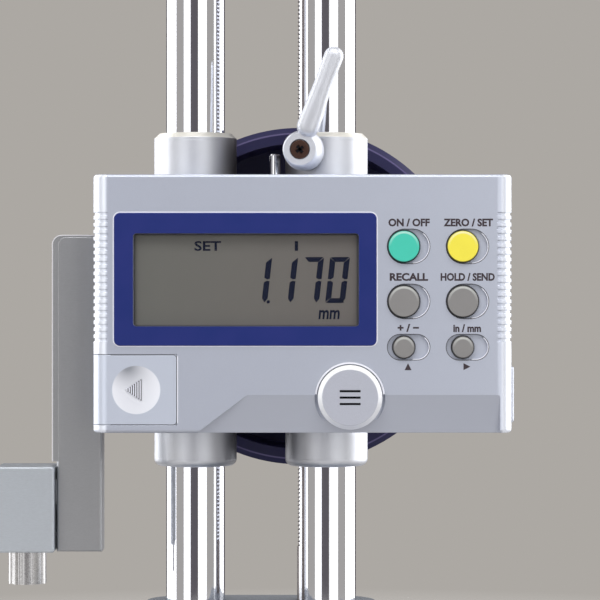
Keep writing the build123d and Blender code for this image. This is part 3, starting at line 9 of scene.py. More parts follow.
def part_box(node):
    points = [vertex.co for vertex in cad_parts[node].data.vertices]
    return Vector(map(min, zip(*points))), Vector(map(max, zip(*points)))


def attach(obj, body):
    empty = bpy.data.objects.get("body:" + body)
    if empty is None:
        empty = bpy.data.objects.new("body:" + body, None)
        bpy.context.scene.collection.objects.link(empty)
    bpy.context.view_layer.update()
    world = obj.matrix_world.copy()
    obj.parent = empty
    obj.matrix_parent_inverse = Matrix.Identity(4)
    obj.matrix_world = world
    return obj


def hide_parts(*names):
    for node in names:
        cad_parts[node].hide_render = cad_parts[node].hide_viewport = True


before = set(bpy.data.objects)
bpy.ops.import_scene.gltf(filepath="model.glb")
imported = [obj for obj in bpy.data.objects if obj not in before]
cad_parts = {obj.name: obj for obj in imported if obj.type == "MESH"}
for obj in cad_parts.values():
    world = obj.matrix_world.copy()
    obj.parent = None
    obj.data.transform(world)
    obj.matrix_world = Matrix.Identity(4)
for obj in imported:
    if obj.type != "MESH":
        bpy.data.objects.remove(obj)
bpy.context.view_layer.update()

# Sizes are in metres, in the gauge's own frame: the reader looks along +Y.
MM = 0.001
picture_side = 216 * MM
camera_distance = 1.0
camera_x = 14.6 * MM
camera_rise = 1.3 * MM

cover_low, cover_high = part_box("front_cover")
front_y = cover_low.y
middle_z = (cover_low.z + cover_high.z) / 2

background_colour = (0.413, 0.392, 0.366)
floor_colour = (0.56, 0.54, 0.52)

ink_lift = 0.04 * MM
capital_share = 0.70  # height of a capital against the font's size


def facing_point(x, z, y=front_y):
    """A point given by x and its height from the housing's middle, both in millimetres."""
    return Vector((x * MM, y, middle_z + z * MM))


def flat_point(x, z):
    """X and Z in metres of the point that facing_point gives."""
    place = facing_point(x, z)
    return place.x, place.z


# Shader maths


class Reading:
    """A number or colour that changes over a surface; arithmetic on numbers adds the nodes for it."""

    def __init__(self, shading, socket):
        self.shading = shading
        self.socket = socket

    def work(self, operation, first, second=0.0, clamp=False):
        settings = {"operation": operation, "use_clamp": clamp}
        return self.shading.node("ShaderNodeMath", settings, {0: first, 1: second})

    def __add__(self, other):
        return self.work("ADD", self, other)

    def __radd__(self, other):
        return self.work("ADD", other, self)

    def __sub__(self, other):
        return self.work("SUBTRACT", self, other)

    def __rsub__(self, other):
        return self.work("SUBTRACT", other, self)

    def __mul__(self, other):
        return self.work("MULTIPLY", self, other)

    def __rmul__(self, other):
        return self.work("MULTIPLY", other, self)

    def __truediv__(self, other):
        return self.work("DIVIDE", self, other)

    def limited(self):
        return self.work("ADD", self, 0.0, clamp=True)

    def root(self):
        return self.work("SQRT", self)

    def sign(self):
        return self.work("SIGN", self)

    def between(self, low, high, soft):
        """1 between low and high, falling to 0 over the width soft outside them."""
        rise = ((self - (low - soft)) / soft).limited()
        fall = (((high + soft) - self) / soft).limited()
        return rise * fall


class Shading:
    """The node tree of a material or of the world."""

    def __init__(self, tree):
        self.tree = tree

    def node(self, kind, settings=None, values=None, output=0):
        """Add a node, make its settings, then feed its sockets, and return the outputs asked for."""
        made = self.tree.nodes.new(kind)
        for setting, value in (settings or {}).items():
            setattr(made, setting, value)
        for socket, value in (values or {}).items():
            self.feed(made.inputs[socket], value)
        if isinstance(output, tuple):
            return [Reading(self, made.outputs[name]) for name in output]
        return Reading(self, made.outputs[output])

    def feed(self, socket, value):
        if isinstance(value, Reading):
            self.tree.links.new(value.socket, socket)
        elif isinstance(value, tuple) and socket.type == "RGBA" and len(value) == 3:
            socket.default_value = (*value, 1.0)
        else:
            socket.default_value = value

    def split(self, vector):
        return self.node("ShaderNodeSeparateXYZ", None, {0: vector}, ("X", "Y", "Z"))

    def mix(self, factor, first, second):
        return self.node("ShaderNodeMix", {"data_type": "RGBA"}, {0: factor, 6: first, 7: second}, 2)


class Finish(Shading):
    """A material: its constant values stand on the Principled shader, and what varies is fed by nodes."""

    def __init__(self, name, colour, roughness, **values):
        self.material = bpy.data.materials.new(name)
        self.material.use_nodes = True
        super().__init__(self.material.node_tree)
        self.surface = self.tree.nodes["Principled BSDF"]
        self.set("Base Color", colour)
        self.set("Roughness", roughness)
        for socket, value in values.items():
            self.set(socket.replace("_", " "), value)

    def set(self, socket, value):
        self.feed(self.surface.inputs[socket], value)

    def place(self):
        return self.node("ShaderNodeTexCoord", output="Object")

    def where(self):
        """X, Y and Z of a point of the surface."""
        return self.split(self.place())

    def facing(self):
        """X, Y and Z of the direction that the surface faces."""
        return self.split(self.node("ShaderNodeNewGeometry", output="Normal"))

    def noise(self, grain, detail=2.0, stretch=(1.0, 1.0, 1.0)):
        """Noise whose features are about grain metres wide, drawn out by stretch along each axis."""
        scale = tuple(1.0 / (grain * part) for part in stretch)
        spread = self.node("ShaderNodeMapping", None, {0: self.place(), 3: scale})
        return self.node("ShaderNodeTexNoise", None, {"Vector": spread, "Scale": 1.0, "Detail": detail})

    def bump(self, height, depth, edge=0.0):
        """A raised grain; edges look rounded to the radius edge."""
        values = {"Height": height, "Distance": depth}
        if edge:
            values["Normal"] = self.node("ShaderNodeBevel", {"samples": 6}, {"Radius": edge})
        self.set("Normal", self.node("ShaderNodeBump", None, values))

    def from_axis(self, centre):
        """Distance from a line along Y through a point, and height above that line."""
        x, _, z = self.where()
        across = x - centre.x
        up = z - centre.z
        return (across * across + up * up).root(), up


# Finishes


def silver_paint():
    """Fine metallic silver over moulded plastic, with a painted highlight on the rounded sides and painted
    shade on what faces down.
    """
    finish = Finish("silver paint", (0.49, 0.52, 0.60), 0.34, Metallic=0.5)
    sheen_left = 5.2 * MM
    sheen_right = 4.2 * MM
    sheen_depth = 9 * MM
    flake = finish.noise(0.35 * MM, 3.0)
    cloud = finish.noise(9 * MM)
    tone = (flake - 0.5) * 0.34 + (cloud - 0.5) * 0.10 + 0.5
    x, y, _ = finish.where()
    left_side = ((cover_low.x + sheen_left - x) / (0.8 * MM)).limited()
    right_side = ((x - cover_high.x + sheen_right) / (0.8 * MM)).limited()
    near_front = ((front_y + sheen_depth - y) / (5 * MM)).limited()
    _, _, up = finish.facing()
    # Painted shade: what faces down is darker.
    downward = ((-0.04 - up) * 5.0).limited()
    face = finish.mix(tone, (0.475, 0.505, 0.595), (0.60, 0.64, 0.745))
    face = finish.mix(downward, face, (0.445, 0.47, 0.545))
    # Painted highlight: the rounded sides near the front are paler, in place of the side lamps' reflection.
    painted_sheen = (left_side + right_side) * near_front
    finish.set("Base Color", finish.mix(painted_sheen, face, (0.80, 0.84, 0.93)))
    finish.set("Roughness", 0.28 + flake * 0.14)
    finish.bump(flake, 0.006 * MM, 0.4 * MM)
    return finish.material


def battery_cover_paint():
    """The same silver, a little paler; the thumb dish has a painted highlight, with painted shade under its
    upper left rim.
    """
    finish = Finish("cover silver", (0.55, 0.59, 0.68), 0.34, Metallic=0.45)
    flake = finish.noise(0.35 * MM, 3.0)
    away, _ = finish.from_axis(dish_centre)
    dish = ((dish_radius - away) / (0.25 * MM)).limited()
    tone = (flake - 0.5) * 0.30 + 0.5
    plain = finish.mix(tone, (0.56, 0.605, 0.71), (0.675, 0.725, 0.84))
    # Painted light and shade in the thumb dish: near white, darkening towards its upper left rim.
    from_shade, _ = finish.from_axis(dish_centre + Vector((-3.2 * MM, 0.0, 8.6 * MM)))
    dish_shade = (1.15 - from_shade / (9.5 * MM)).limited()
    dish_light_and_shade = finish.mix(dish_shade * dish_shade, (0.90, 0.92, 0.99), (0.36, 0.38, 0.43))
    finish.set("Base Color", finish.mix(dish, plain, dish_light_and_shade))
    finish.set("Roughness", 0.30 + flake * 0.14)
    finish.bump(flake, 0.006 * MM, 0.4 * MM)
    return finish.material


def knob_silver():
    """Turned and painted knob: a grey face inside a bright cut chamfer, its paleness partly bare metal and
    partly a painted highlight that grows towards the top.
    """
    finish = Finish("knob silver", (0.48, 0.50, 0.57), 0.34, Metallic=0.25)
    flake = finish.noise(0.3 * MM, 3.0)
    face_radius = 9.95 * MM
    away, up = finish.from_axis(knob_centre)
    chamfer = ((away - face_radius) / (0.25 * MM)).limited()
    face = finish.mix(flake, (0.44, 0.455, 0.52), (0.54, 0.56, 0.64))
    # Painted highlight: the chamfer is paler towards the top of the knob.
    height = (up / (22 * MM) + 0.5).limited()
    cut = finish.mix(height, (0.74, 0.76, 0.84), (0.97, 0.97, 0.94))
    finish.set("Base Color", finish.mix(chamfer, face, cut))
    finish.set("Roughness", 0.30 + flake * 0.12)
    finish.bump(flake, 0.004 * MM, 0.25 * MM)
    return finish.material


def satin_aluminium():
    """Blasted cast aluminium: a fine matt grain, a painted highlight on what faces up, and painted shade on
    what faces the other column.
    """
    finish = Finish("satin aluminium", (0.76, 0.78, 0.83), 0.45, Metallic=1.0)
    grain = finish.noise(0.25 * MM, 3.0)
    stain = finish.noise(6 * MM, 3.0)
    x, _, z = finish.where()
    across, _, up = finish.facing()
    # Painted shade: flanks facing the other column are darkened, a little less low down.
    inward = 0.0 - x.sign() * across
    below = ((middle_z - z) / (10 * MM)).limited()
    painted_inner_shade = ((inward - 0.08) * (1.12 - below * 0.30)).limited()
    # Painted highlight: what faces up is paler.
    upward = ((up - 0.3) * 4.0).limited()
    metal = finish.mix(stain, (0.64, 0.66, 0.715), (0.72, 0.745, 0.80))
    metal = finish.mix(upward, metal, (0.90, 0.89, 0.84))
    finish.set("Base Color", finish.mix(painted_inner_shade, metal, (0.065, 0.058, 0.068)))
    finish.set("Roughness", 0.40 + grain * 0.14)
    finish.bump(grain, 0.008 * MM, 0.3 * MM)
    return finish.material


def ground_chrome(name="ground chrome", rack_x=None):
    """Hard chrome over ground steel: a clear mirror with faint rings from the grinding.

    On the rack column the milled side left of rack_x is dark and mottled, with one bright land.
    """
    plating = (0.85, 0.87, 0.93)
    finish = Finish(name, plating, 0.05, Metallic=1.0)
    rings = finish.noise(0.12 * MM, 2.0, (60.0, 60.0, 1.0))
    smear = finish.noise(5 * MM, 2.0, (1.0, 1.0, 4.0))
    polish = 0.02 + rings * 0.04 + smear * 0.03
    if rack_x is not None:
        x, _, _ = finish.where()
        land = x.between(rack_x - 2.0 * MM, rack_x - 1.2 * MM, 0.12 * MM)
        milled = ((rack_x - x) / (0.15 * MM)).limited() * (1.0 - land)
        # The milled flank is coloured dark and mottled.
        dark_flank_tone = finish.mix(smear, (0.10, 0.085, 0.085), (0.20, 0.18, 0.18))
        finish.set("Base Color", finish.mix(milled, plating, dark_flank_tone))
        polish = polish + milled * 0.32 + land * 0.35
    finish.set("Roughness", polish)
    finish.bump(rings, 0.0004 * MM)
    return finish.material


def turned_steel(name, colour, roughness=0.28, edge=0.0):
    """Machined metal in a given colour, with the fine streaks of its tool."""
    finish = Finish(name, colour, roughness, Metallic=1.0)
    grain = finish.noise(0.15 * MM, 2.0, (8.0, 8.0, 1.0))
    darker = tuple(part * 0.82 for part in colour)
    finish.set("Base Color", finish.mix(grain, darker, colour))
    finish.set("Roughness", roughness - 0.06 + grain * 0.12)
    finish.bump(grain, 0.003 * MM, edge)
    return finish.material


def blue_bezel():
    """Deep blue printed bezel with a silky surface."""
    finish = Finish("blue bezel", (0.014, 0.026, 0.16), 0.38, Specular_IOR_Level=0.22)
    cloud = finish.noise(14 * MM)
    grain = finish.noise(0.2 * MM)
    finish.set("Base Color", finish.mix(cloud, (0.009, 0.023, 0.145), (0.022, 0.030, 0.175)))
    finish.set("Roughness", 0.30 + grain * 0.08)
    finish.bump(grain, 0.003 * MM)
    return finish.material


def moulded(name, colour, roughness=0.45, grain_size=0.3, depth=0.006, shine=0.5):
    """Moulded plastic, rubber or ink: a slightly uneven tone and a fine eroded grain."""
    finish = Finish(name, colour, roughness, Specular_IOR_Level=shine)
    grain = finish.noise(grain_size * MM, 3.0)
    cloud = finish.noise(7 * MM)
    shade = tuple(part * 0.90 for part in colour)
    finish.set("Base Color", finish.mix(cloud, shade, colour))
    finish.set("Roughness", roughness - 0.05 + grain * 0.10)
    finish.bump(grain, depth * MM)
    return finish.material


def key_plastic(node, colour, face_radius, ring=0.16):
    """A key in its own colour, with a painted highlight along the top of its face and painted shade at its
    rim, in the gap round it.
    """
    low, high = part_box(node)
    finish = Finish(node, colour, 0.40)
    away, up = finish.from_axis((low + high) / 2)
    grain = finish.noise(0.3 * MM, 3.0)
    cloud = finish.noise(5 * MM)
    # Painted shade: the rim of the key is darkened where the gap round it is in shadow.
    gap = ((away - face_radius + 0.32 * MM) / (0.14 * MM)).limited()
    crest = away.between(face_radius - 0.95 * MM, face_radius - 0.50 * MM, 0.25 * MM)
    # Painted highlight: the face is paler along its top.
    lit = crest * (up / face_radius).limited() * 0.45
    body = finish.mix(cloud, tuple(part * 0.93 for part in colour), colour)
    shown = finish.mix(lit, body, (0.9, 0.95, 0.9))
    finish.set("Base Color", finish.mix(gap, shown, tuple(part * ring + 0.004 for part in colour)))
    finish.set("Roughness", 0.36 + grain * 0.10)
    finish.bump(grain, 0.005 * MM)
    return finish.material


def display_glass():
    """Clear window with the faintest haze."""
    finish = Finish("display window", (0.10, 0.10, 0.10), 0.10, Alpha=0.03)
    haze = finish.noise(4 * MM)
    finish.set("Roughness", 0.08 + haze * 0.05)
    return finish.material


def liquid_crystal():
    """The panel's grey, a little warmer at the right, dark where the bezel shades its edges."""
    finish = Finish("liquid crystal", (0.15, 0.145, 0.137), 0.6, Specular_IOR_Level=0.15)
    low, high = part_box("display_window")
    x, _, z = finish.where()
    lap = 1.2 * MM
    soft = 1.1 * MM
    open_part = (x.between(low.x + lap + soft, high.x - lap - soft, soft)
                 * z.between(low.z + lap + soft * 0.6, high.z - lap - soft * 0.9, soft * 0.8))
    rightward = ((x - low.x) / (high.x - low.x)).limited()
    grain = finish.noise(0.25 * MM)
    panel = finish.mix(rightward, (0.140, 0.139, 0.127), (0.148, 0.134, 0.125))
    finish.set("Base Color", finish.mix(open_part, (0.045, 0.045, 0.050), panel))
    finish.set("Roughness", 0.55 + grain * 0.1)
    return finish.material


def indigo_plastic():
    """Dark indigo wheel, with a painted highlight line just inside the rim."""
    finish = Finish("indigo wheel", (0.025, 0.022, 0.080), 0.42, Specular_IOR_Level=0.3)
    grain = finish.noise(0.3 * MM, 3.0)
    cloud = finish.noise(11 * MM)
    low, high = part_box("handwheel")
    away, _ = finish.from_axis((low + high) / 2)
    line_radius = 62.05 * MM
    # Painted highlight: a thin pale ring just inside the rim.
    line = away.between(line_radius - 0.15 * MM, line_radius + 0.15 * MM, 0.25 * MM)
    body = finish.mix(cloud, (0.0165, 0.0155, 0.060), (0.024, 0.022, 0.080))
    finish.set("Base Color", finish.mix(line, body, (0.13, 0.11, 0.24)))
    finish.set("Roughness", 0.37 + grain * 0.12)
    finish.bump(grain, 0.006 * MM, 0.3 * MM)
    return finish.material


def lever_finish():
    """Satin plated lever: soft bright metal with a fine grain."""
    finish = Finish("satin plating", (0.82, 0.84, 0.88), 0.38, Metallic=0.85)
    grain = finish.noise(0.3 * MM, 3.0)
    cloud = finish.noise(4 * MM)
    finish.set("Base Color", finish.mix(cloud, (0.60, 0.62, 0.67), (0.68, 0.70, 0.76)))
    finish.set("Roughness", 0.42 + grain * 0.14)
    finish.bump(grain, 0.006 * MM)
    return finish.material


def cast_base_paint():
    """Grey hammered enamel over the cast base."""
    finish = Finish("base paint", (0.20, 0.22, 0.25), 0.45)
    pits = finish.noise(0.9 * MM, 4.0)
    cloud = finish.noise(25 * MM, 3.0)
    finish.set("Base Color", finish.mix(cloud, (0.175, 0.195, 0.225), (0.225, 0.245, 0.28)))
    finish.set("Roughness", 0.38 + pits * 0.16)
    finish.bump(pits, 0.05 * MM, 0.8 * MM)
    return finish.material


dish_x = -44.37
dish_z = -31.1
dish_centre = facing_point(dish_x, dish_z)
dish_radius = 8.8 * MM
knob_low, knob_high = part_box("fine_knob")
knob_centre = (knob_low + knob_high) / 2

silver = silver_paint()
aluminium = satin_aluminium()
chrome = ground_chrome()
rack_side = 2.9 * MM
rack_chrome = ground_chrome("rack column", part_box("right_column")[0].x + rack_side)
steel = turned_steel("turned steel", (0.62, 0.62, 0.63))
arm_steel = turned_steel("ground arm steel", (0.46, 0.47, 0.49), 0.42, 0.4 * MM)
lever_silver = lever_finish()
# Painted highlight for the scriber arm's left and top edge.
edge_highlight_steel = turned_steel("painted edge highlight", (0.93, 0.93, 0.96), 0.50)
dark_steel = turned_steel("browned screw", (0.105, 0.060, 0.048), 0.40)
brass = turned_steel("gear brass", (0.72, 0.55, 0.22), 0.30)
bronze = turned_steel("bush bronze", (0.60, 0.42, 0.22), 0.35)
carbide = turned_steel("carbide", (0.22, 0.22, 0.24), 0.25)
blue = blue_bezel()
glass = display_glass()
crystal = liquid_crystal()
indigo = indigo_plastic()
base_paint = cast_base_paint()
cover_silver = battery_cover_paint()
knob_paint = knob_silver()
rubber = moulded("pad rubber", (0.05, 0.065, 0.06), 0.6, 0.2)
black = moulded("black plastic", (0.02, 0.02, 0.022), 0.4)
board = moulded("solder mask", (0.02, 0.14, 0.06), 0.35, 0.8)
key_green = (0.050, 0.56, 0.42)
key_yellow = (0.87, 0.76, 0.060)
key_grey = (0.235, 0.228, 0.225)
large_key = 5.7 * MM
small_key = 3.95 * MM
legend_ink = moulded("legend ink", (0.055, 0.042, 0.050), 0.6, shine=0.15)
segment_ink = moulded("segment ink", (0.006, 0.009, 0.026), 0.6, shine=0.05)
# Black ink for the knob's lines, and painted shade in the lever screw's cross slot.
ink_and_slot_shade = moulded("black ink and slot shade", (0.005, 0.005, 0.007), 0.6, shine=0.08)
# Painted highlight for thin edge lines, glints and ribs.
painted_highlight = moulded("painted highlight", (0.84, 0.85, 0.93), 0.45)
# Dark lines: painted shade round the key pockets and in the thumb arrow, and the dark joint round the
# battery cover.
dark_joint_and_shade = moulded("shaded gap", (0.065, 0.065, 0.075), 0.6, shine=0.1)
clamp_silver = turned_steel("clamp frame steel", (0.64, 0.69, 0.75), 0.45, 0.5 * MM)

node_finish = {
    "base_casting": base_paint, "column_bolts": steel, "left_column": chrome, "right_column": rack_chrome,
    "top_bracket": aluminium, "bracket_screws": steel, "column_caps": black,
    "slider_casting": aluminium, "column_bushes": bronze, "wiper_rings": aluminium, "shaft_bushes": bronze,
    "front_cover": silver, "back_plate": aluminium, "housing_screws": steel, "window_bezel": blue,
    "display_window": glass, "lcd_panel": crystal, "display_board": board, "key_pad": rubber,
    "battery": steel, "battery_holder": black, "data_connector": black, "gear_cover": silver,
    "gear_cover_screws": steel, "encoder_stator": board, "clamp_shoe": brass, "probe_terminal": steel,
    "scriber_arm": arm_steel, "arm_screws": steel, "scriber_clamp": clamp_silver, "clamp_pad": steel,
    "on_off_button": key_plastic("on_off_button", key_green, large_key),
    "zero_button": key_plastic("zero_button", key_yellow, large_key),
    "preset_button": key_plastic("preset_button", key_grey, large_key),
    "hold_button": key_plastic("hold_button", key_grey, large_key),
    "sign_button": key_plastic("sign_button", key_grey, small_key, 0.3),
    "unit_button": key_plastic("unit_button", key_grey, small_key, 0.3),
    "battery_cover": cover_silver, "connector_cover": silver, "clamp_lever": aluminium,
    "lever_screw": dark_steel, "clamp_spindle": steel, "handwheel": indigo, "wheel_shaft": steel,
    "wheel_gear": brass, "hub_screw": steel, "knob_pin": steel, "finger_knob": black,
    "pinion_shaft": steel, "rack_pinion": steel, "driven_gear": brass, "fine_gear": brass,
    "encoder_pinion": steel, "encoder_rotor": steel, "fine_knob": knob_paint, "fine_shaft": steel,
    "scriber": steel, "carbide_tip": carbide, "scriber_screw": steel,
}
for node_name, material in node_finish.items():
    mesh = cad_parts[node_name].data
    mesh.materials.clear()
    mesh.materials.append(material)


# Making pieces


def piece_of(name, mesh, material, body):
    """An object of one finish that rides on a body."""
    mesh.materials.clear()
    mesh.materials.append(material)
    made = bpy.data.objects.new(name, mesh)
    bpy.context.scene.collection.objects.link(made)
    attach(made, body)
    return made


def piece_from(name, points, faces, material, body):
    """A piece from points in metres and faces."""
    mesh = bpy.data.meshes.new(name)
    mesh.from_pydata([tuple(point) for point in points], [], faces)
    return piece_of(name, mesh, material, body)


def plates(name, outlines, front, back, material, body):
    """Flat plates with the given outlines in X and Z, from the depth front to the depth back."""
    points = []
    faces = []
    for outline in outlines:
        start = len(points)
        count = len(outline)
        points += [Vector((x, front, z)) for x, z in outline]
        points += [Vector((x, back, z)) for x, z in outline]
        faces.append(tuple(range(start, start + count)))
        faces.append(tuple(reversed(range(start + count, start + 2 * count))))
        for side in range(count):
            after = (side + 1) % count
            faces.append((start + after, start + side, start + count + side, start + count + after))
    return piece_from(name, points, faces, material, body)


def band(name, paths, width, front, back, material, body, closed=False):
    """Narrow strips that follow paths in X and Z, from the depth front to the depth back."""
    points = []
    faces = []
    for path in paths:
        start = len(points)
        count = len(path)
        for place, (x, z) in enumerate(path):
            before = path[place - 1] if closed or place else path[place]
            after = path[(place + 1) % count] if closed or place < count - 1 else path[place]
            along = Vector((after[0] - before[0], after[1] - before[1])).normalized()
            side = Vector((-along.y, along.x)) * width / 2
            for y, way in ((front, 1), (front, -1), (back, -1), (back, 1)):
                points.append((x + side.x * way, y, z + side.y * way))
        for place in range(count if closed else count - 1):
            here = start + 4 * place
            there = start + 4 * ((place + 1) % count)
            for corner in range(4):
                after = (corner + 1) % 4
                faces.append((here + corner, here + after, there + after, there + corner))
        if not closed:
            last = start + 4 * (count - 1)
            faces.append((start + 3, start + 2, start + 1, start))
            faces.append((last, last + 1, last + 2, last + 3))
    return piece_from(name, points, faces, material, body)


def rounded(left, right, low, high, radius, steps=8):
    """Outline of a rectangle with rounded corners, from its lower right corner round to the left."""
    outline = []
    for x, z, first in ((right - radius, low + radius, -90), (right - radius, high - radius, 0),
                        (left + radius, high - radius, 90), (left + radius, low + radius, 180)):
        for step in range(steps + 1):
            angle = math.radians(first + 90 * step / steps)
            outline.append((x + radius * math.cos(angle), z + radius * math.sin(angle)))
    return outline


def arc(centre, radius, first, last, steps):
    """Points of an arc in X and Z; the angles are in degrees from +X towards +Z."""
    angles = [math.radians(first + (last - first) * step / steps) for step in range(steps + 1)]
    return [(centre[0] + radius * math.cos(angle), centre[1] + radius * math.sin(angle))
            for angle in angles]


def turned(name, axes, profiles, material, body, steps=72):
    """Rings turned about upright axes; each profile is a closed loop of radius and height."""
    points = []
    faces = []
    for x, y in axes:
        for profile in profiles:
            start = len(points)
            for step in range(steps):
                angle = 2 * math.pi * step / steps
                points += [(x + radius * math.cos(angle), y + radius * math.sin(angle), z)
                           for radius, z in profile]
            size = len(profile)
            for step in range(steps):
                here = start + size * step
                there = start + size * ((step + 1) % steps)
                for corner in range(size):
                    after = (corner + 1) % size
                    faces.append((here + corner, there + corner, there + after, here + after))
    return smoothed(piece_from(name, points, faces, material, body))


def smoothed(made):
    """Smooth shading, with edges past 35 degrees kept sharp."""
    made.data.shade_smooth()
    made.data.set_sharp_from_angle(angle=math.radians(35))
    return made


def layered(name, layers, material, body):
    """A closed form whose layers are outlines of the same count, each (x, y, z), capped at both ends."""
    points = [point for layer in layers for point in layer]
    count = len(layers[0])
    faces = [tuple(reversed(range(count)))]
    for place in range(len(layers) - 1):
        for corner in range(count):
            after = (corner + 1) % count
            here = place * count
            faces.append((here + corner, here + after, here + count + after, here + count + corner))
    last = (len(layers) - 1) * count
    faces.append(tuple(range(last, last + count)))
    return smoothed(piece_from(name, points, faces, material, body))


def lettering(name, words, x, z, height, span, material, weight, lean=0.0, depth=front_y):
    """Words facing the reader as a thin raised mesh on the slider: span wide, with capitals height tall."""
    curve = bpy.data.curves.new(name, "FONT")
    curve.body = words
    curve.align_x = "CENTER"
    curve.align_y = "CENTER"
    curve.size = height / capital_share
    curve.offset = weight
    curve.shear = lean
    curve.extrude = ink_lift
    curve.resolution_u = 3
    writer = bpy.data.objects.new(name + "_text", curve)
    bpy.context.scene.collection.objects.link(writer)
    bpy.context.view_layer.update()
    mesh = bpy.data.meshes.new_from_object(writer.evaluated_get(bpy.context.evaluated_depsgraph_get()))
    bpy.data.objects.remove(writer)
    bpy.data.curves.remove(curve)
    corners = [vertex.co for vertex in mesh.vertices]
    low = Vector((min(corner.x for corner in corners), min(corner.y for corner in corners), 0))
    high = Vector((max(corner.x for corner in corners), max(corner.y for corner in corners), 0))
    stretch = Matrix.Diagonal((span / (high.x - low.x), 1, 1, 1))
    upright = Matrix.Rotation(math.pi / 2, 4, "X")
    place = Matrix.Translation(facing_point(x, z, depth))
    mesh.transform(place @ upright @ stretch @ Matrix.Translation(-(low + high) / 2))
    mesh.name = name
    piece_of(name, mesh, material, "slider")


# Key legends: generic words above the keys and two arrows below

cap_height = 2.55 * MM
legends = (
    ("on_off_legend", "ON / OFF", 53.86, 29.2, 14.9),
    ("zero_legend", "ZERO / SET", 75.17, 29.2, 17.8),
    ("recall_legend", "RECALL", 53.8, 9.6, 13.8),
    ("hold_legend", "HOLD / SEND", 74.97, 9.6, 19.5),
    ("sign_legend", "+ / −", 53.57, -8.75, 7.7),
    ("unit_legend", "in / mm", 74.77, -8.85, 10.0),
)
for name, words, x, z, span in legends:
    lettering(name, words, x, z, cap_height, span * MM, legend_ink, 0.15 * MM)

arrow_reach = 1.25
arrow_z = -22.7
arrows = (
    ("up_arrow", 53.5, ((-1, -1), (1, -1), (0, 1))),
    ("right_arrow", 74.7, ((-1, -1), (1, 0), (-1, 1))),
)
for name, x, corners in arrows:
    outline = [flat_point(x + across * arrow_reach, arrow_z + up * arrow_reach) for across, up in corners]
    plates(name, [outline], front_y - ink_lift, front_y + ink_lift, legend_ink, "slider")

# Digits of the display: slanted segments just in front of the panel

panel_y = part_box("lcd_panel")[0].y
digit_height = 16.6
digit_width = 7.15
digit_pitch = 9.35
digit_right = 32.65
digit_bottom = 0.2
upright_stroke = 2.05
level_stroke = 1.75
digit_slant = 0.112
segment_gap = 0.22
shown = {"0": "abcdef", "1": "bc", "7": "abc"}


def segment_outline(segment):
    """Outline of one segment of an upright digit, from its lower left corner."""
    half = digit_height / 2
    up = upright_stroke
    level = level_stroke
    right = digit_width
    top = digit_height
    cut = segment_gap
    outlines = {
        "a": [(cut, top - cut / 2), (up * 0.7, top), (right - cut, top), (right - up + cut, top - level),
              (up - cut, top - level)],
        "b": [(right, top - cut), (right, half + cut * 2), (right - up / 2, half + cut),
              (right - up, half + level / 2), (right - up, top - level - cut)],
        "c": [(right - up / 2, half - cut), (right, half - cut * 2), (right, up * 0.8),
              (right - up * 0.5, cut), (right - up, level), (right - up, half - level / 2)],
        "d": [(up - cut, level), (right - up + cut, level), (right - cut, cut), (right - up * 0.6, 0),
              (up * 0.6, 0), (cut, cut)],
        "e": [(up / 2, half - cut), (up, half - level / 2), (up, level + cut), (0, cut * 2),
              (0, half - cut * 2)],
        "f": [(0, top - cut), (up, top - level - cut), (up, half + level / 2), (up / 2, half + cut),
              (0, half + cut * 2)],
    }
    return outlines[segment]


def slanted(points, left):
    """Points of an upright digit leaned to the right, with its lower left corner at left."""
    return [flat_point(left + x + z * digit_slant, digit_bottom + z) for x, z in points]


segments = []
top_shift = digit_height * digit_slant
for place, digit in enumerate(reversed("1170")):
    left = digit_right - top_shift - digit_width - place * digit_pitch
    for segment in shown[digit]:
        segments.append(slanted(segment_outline(segment), left))
point_shift = 0.35
point_x = digit_right - top_shift - 3 * digit_pitch + point_shift
point_z = 0.45
point_radius = 0.62
segments.append(slanted(arc((0.0, point_z), point_radius, 0, 330, 11), point_x))
segment_lift = 0.06 * MM
plates("display_digits", segments, panel_y - segment_lift, panel_y, segment_ink, "slider")
flags = (
    ("unit_flag", "mm", 25.1, -3.95, 4.6, 7.7, 0.16, 0.12),
    ("set_flag", "SET", -18.7, 20.8, 3.35, 9.6, 0.11, 0.0),
    ("number_flag", "1", 13.3, 20.8, 3.35, 1.2, 0.11, 0.0),
)
for name, words, x, z, height, span, weight, lean in flags:
    lettering(name, words, x, z, height * MM, span * MM, segment_ink, weight * MM, lean, panel_y)

# Bezel: a painted highlight line where it sits in the cover

bezel_low, bezel_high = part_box("window_bezel")
seat = 0.20 * MM
seat_corner = 2.4 * MM
seat_path = rounded(bezel_low.x - seat, bezel_high.x + seat, bezel_low.z - seat, bezel_high.z + seat,
                    seat_corner)
band("bezel_edge_highlight", [seat_path], 0.42 * MM, front_y - 0.10 * MM, front_y + 0.05 * MM, painted_highlight, "slider",
     closed=True)

# Key pockets: a painted shade line round each, and a painted highlight glint low on its right

large_pocket = 6.25 * MM
small_pocket = 4.65 * MM
pocket_half_width = 7.7 * MM
pocket_offset = 1.7 * MM
least_side = 0.001 * MM
glint_inset = 0.24 * MM
glint_start = 3.2 * MM
outlines = []
glints = []
for node, radius in (("on_off_button", large_pocket), ("zero_button", large_pocket),
                     ("preset_button", large_pocket), ("hold_button", large_pocket),
                     ("sign_button", small_pocket), ("unit_button", small_pocket)):
    low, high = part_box(node)
    key_middle = (low + high) / 2
    pocket_x = key_middle.x + pocket_offset
    outlines.append(rounded(pocket_x - pocket_half_width, pocket_x + pocket_half_width,
                            key_middle.z - radius, key_middle.z + radius, radius - least_side))
    inside = radius - glint_inset
    end = (pocket_x + pocket_half_width - radius, key_middle.z)
    glints.append([(key_middle.x + glint_start, key_middle.z - inside)] + arc(end, inside, -90, 52, 20))
band("pocket_shade_lines", outlines, 0.24 * MM, front_y - 0.03 * MM, front_y + 0.05 * MM, dark_joint_and_shade, "slider",
     closed=True)
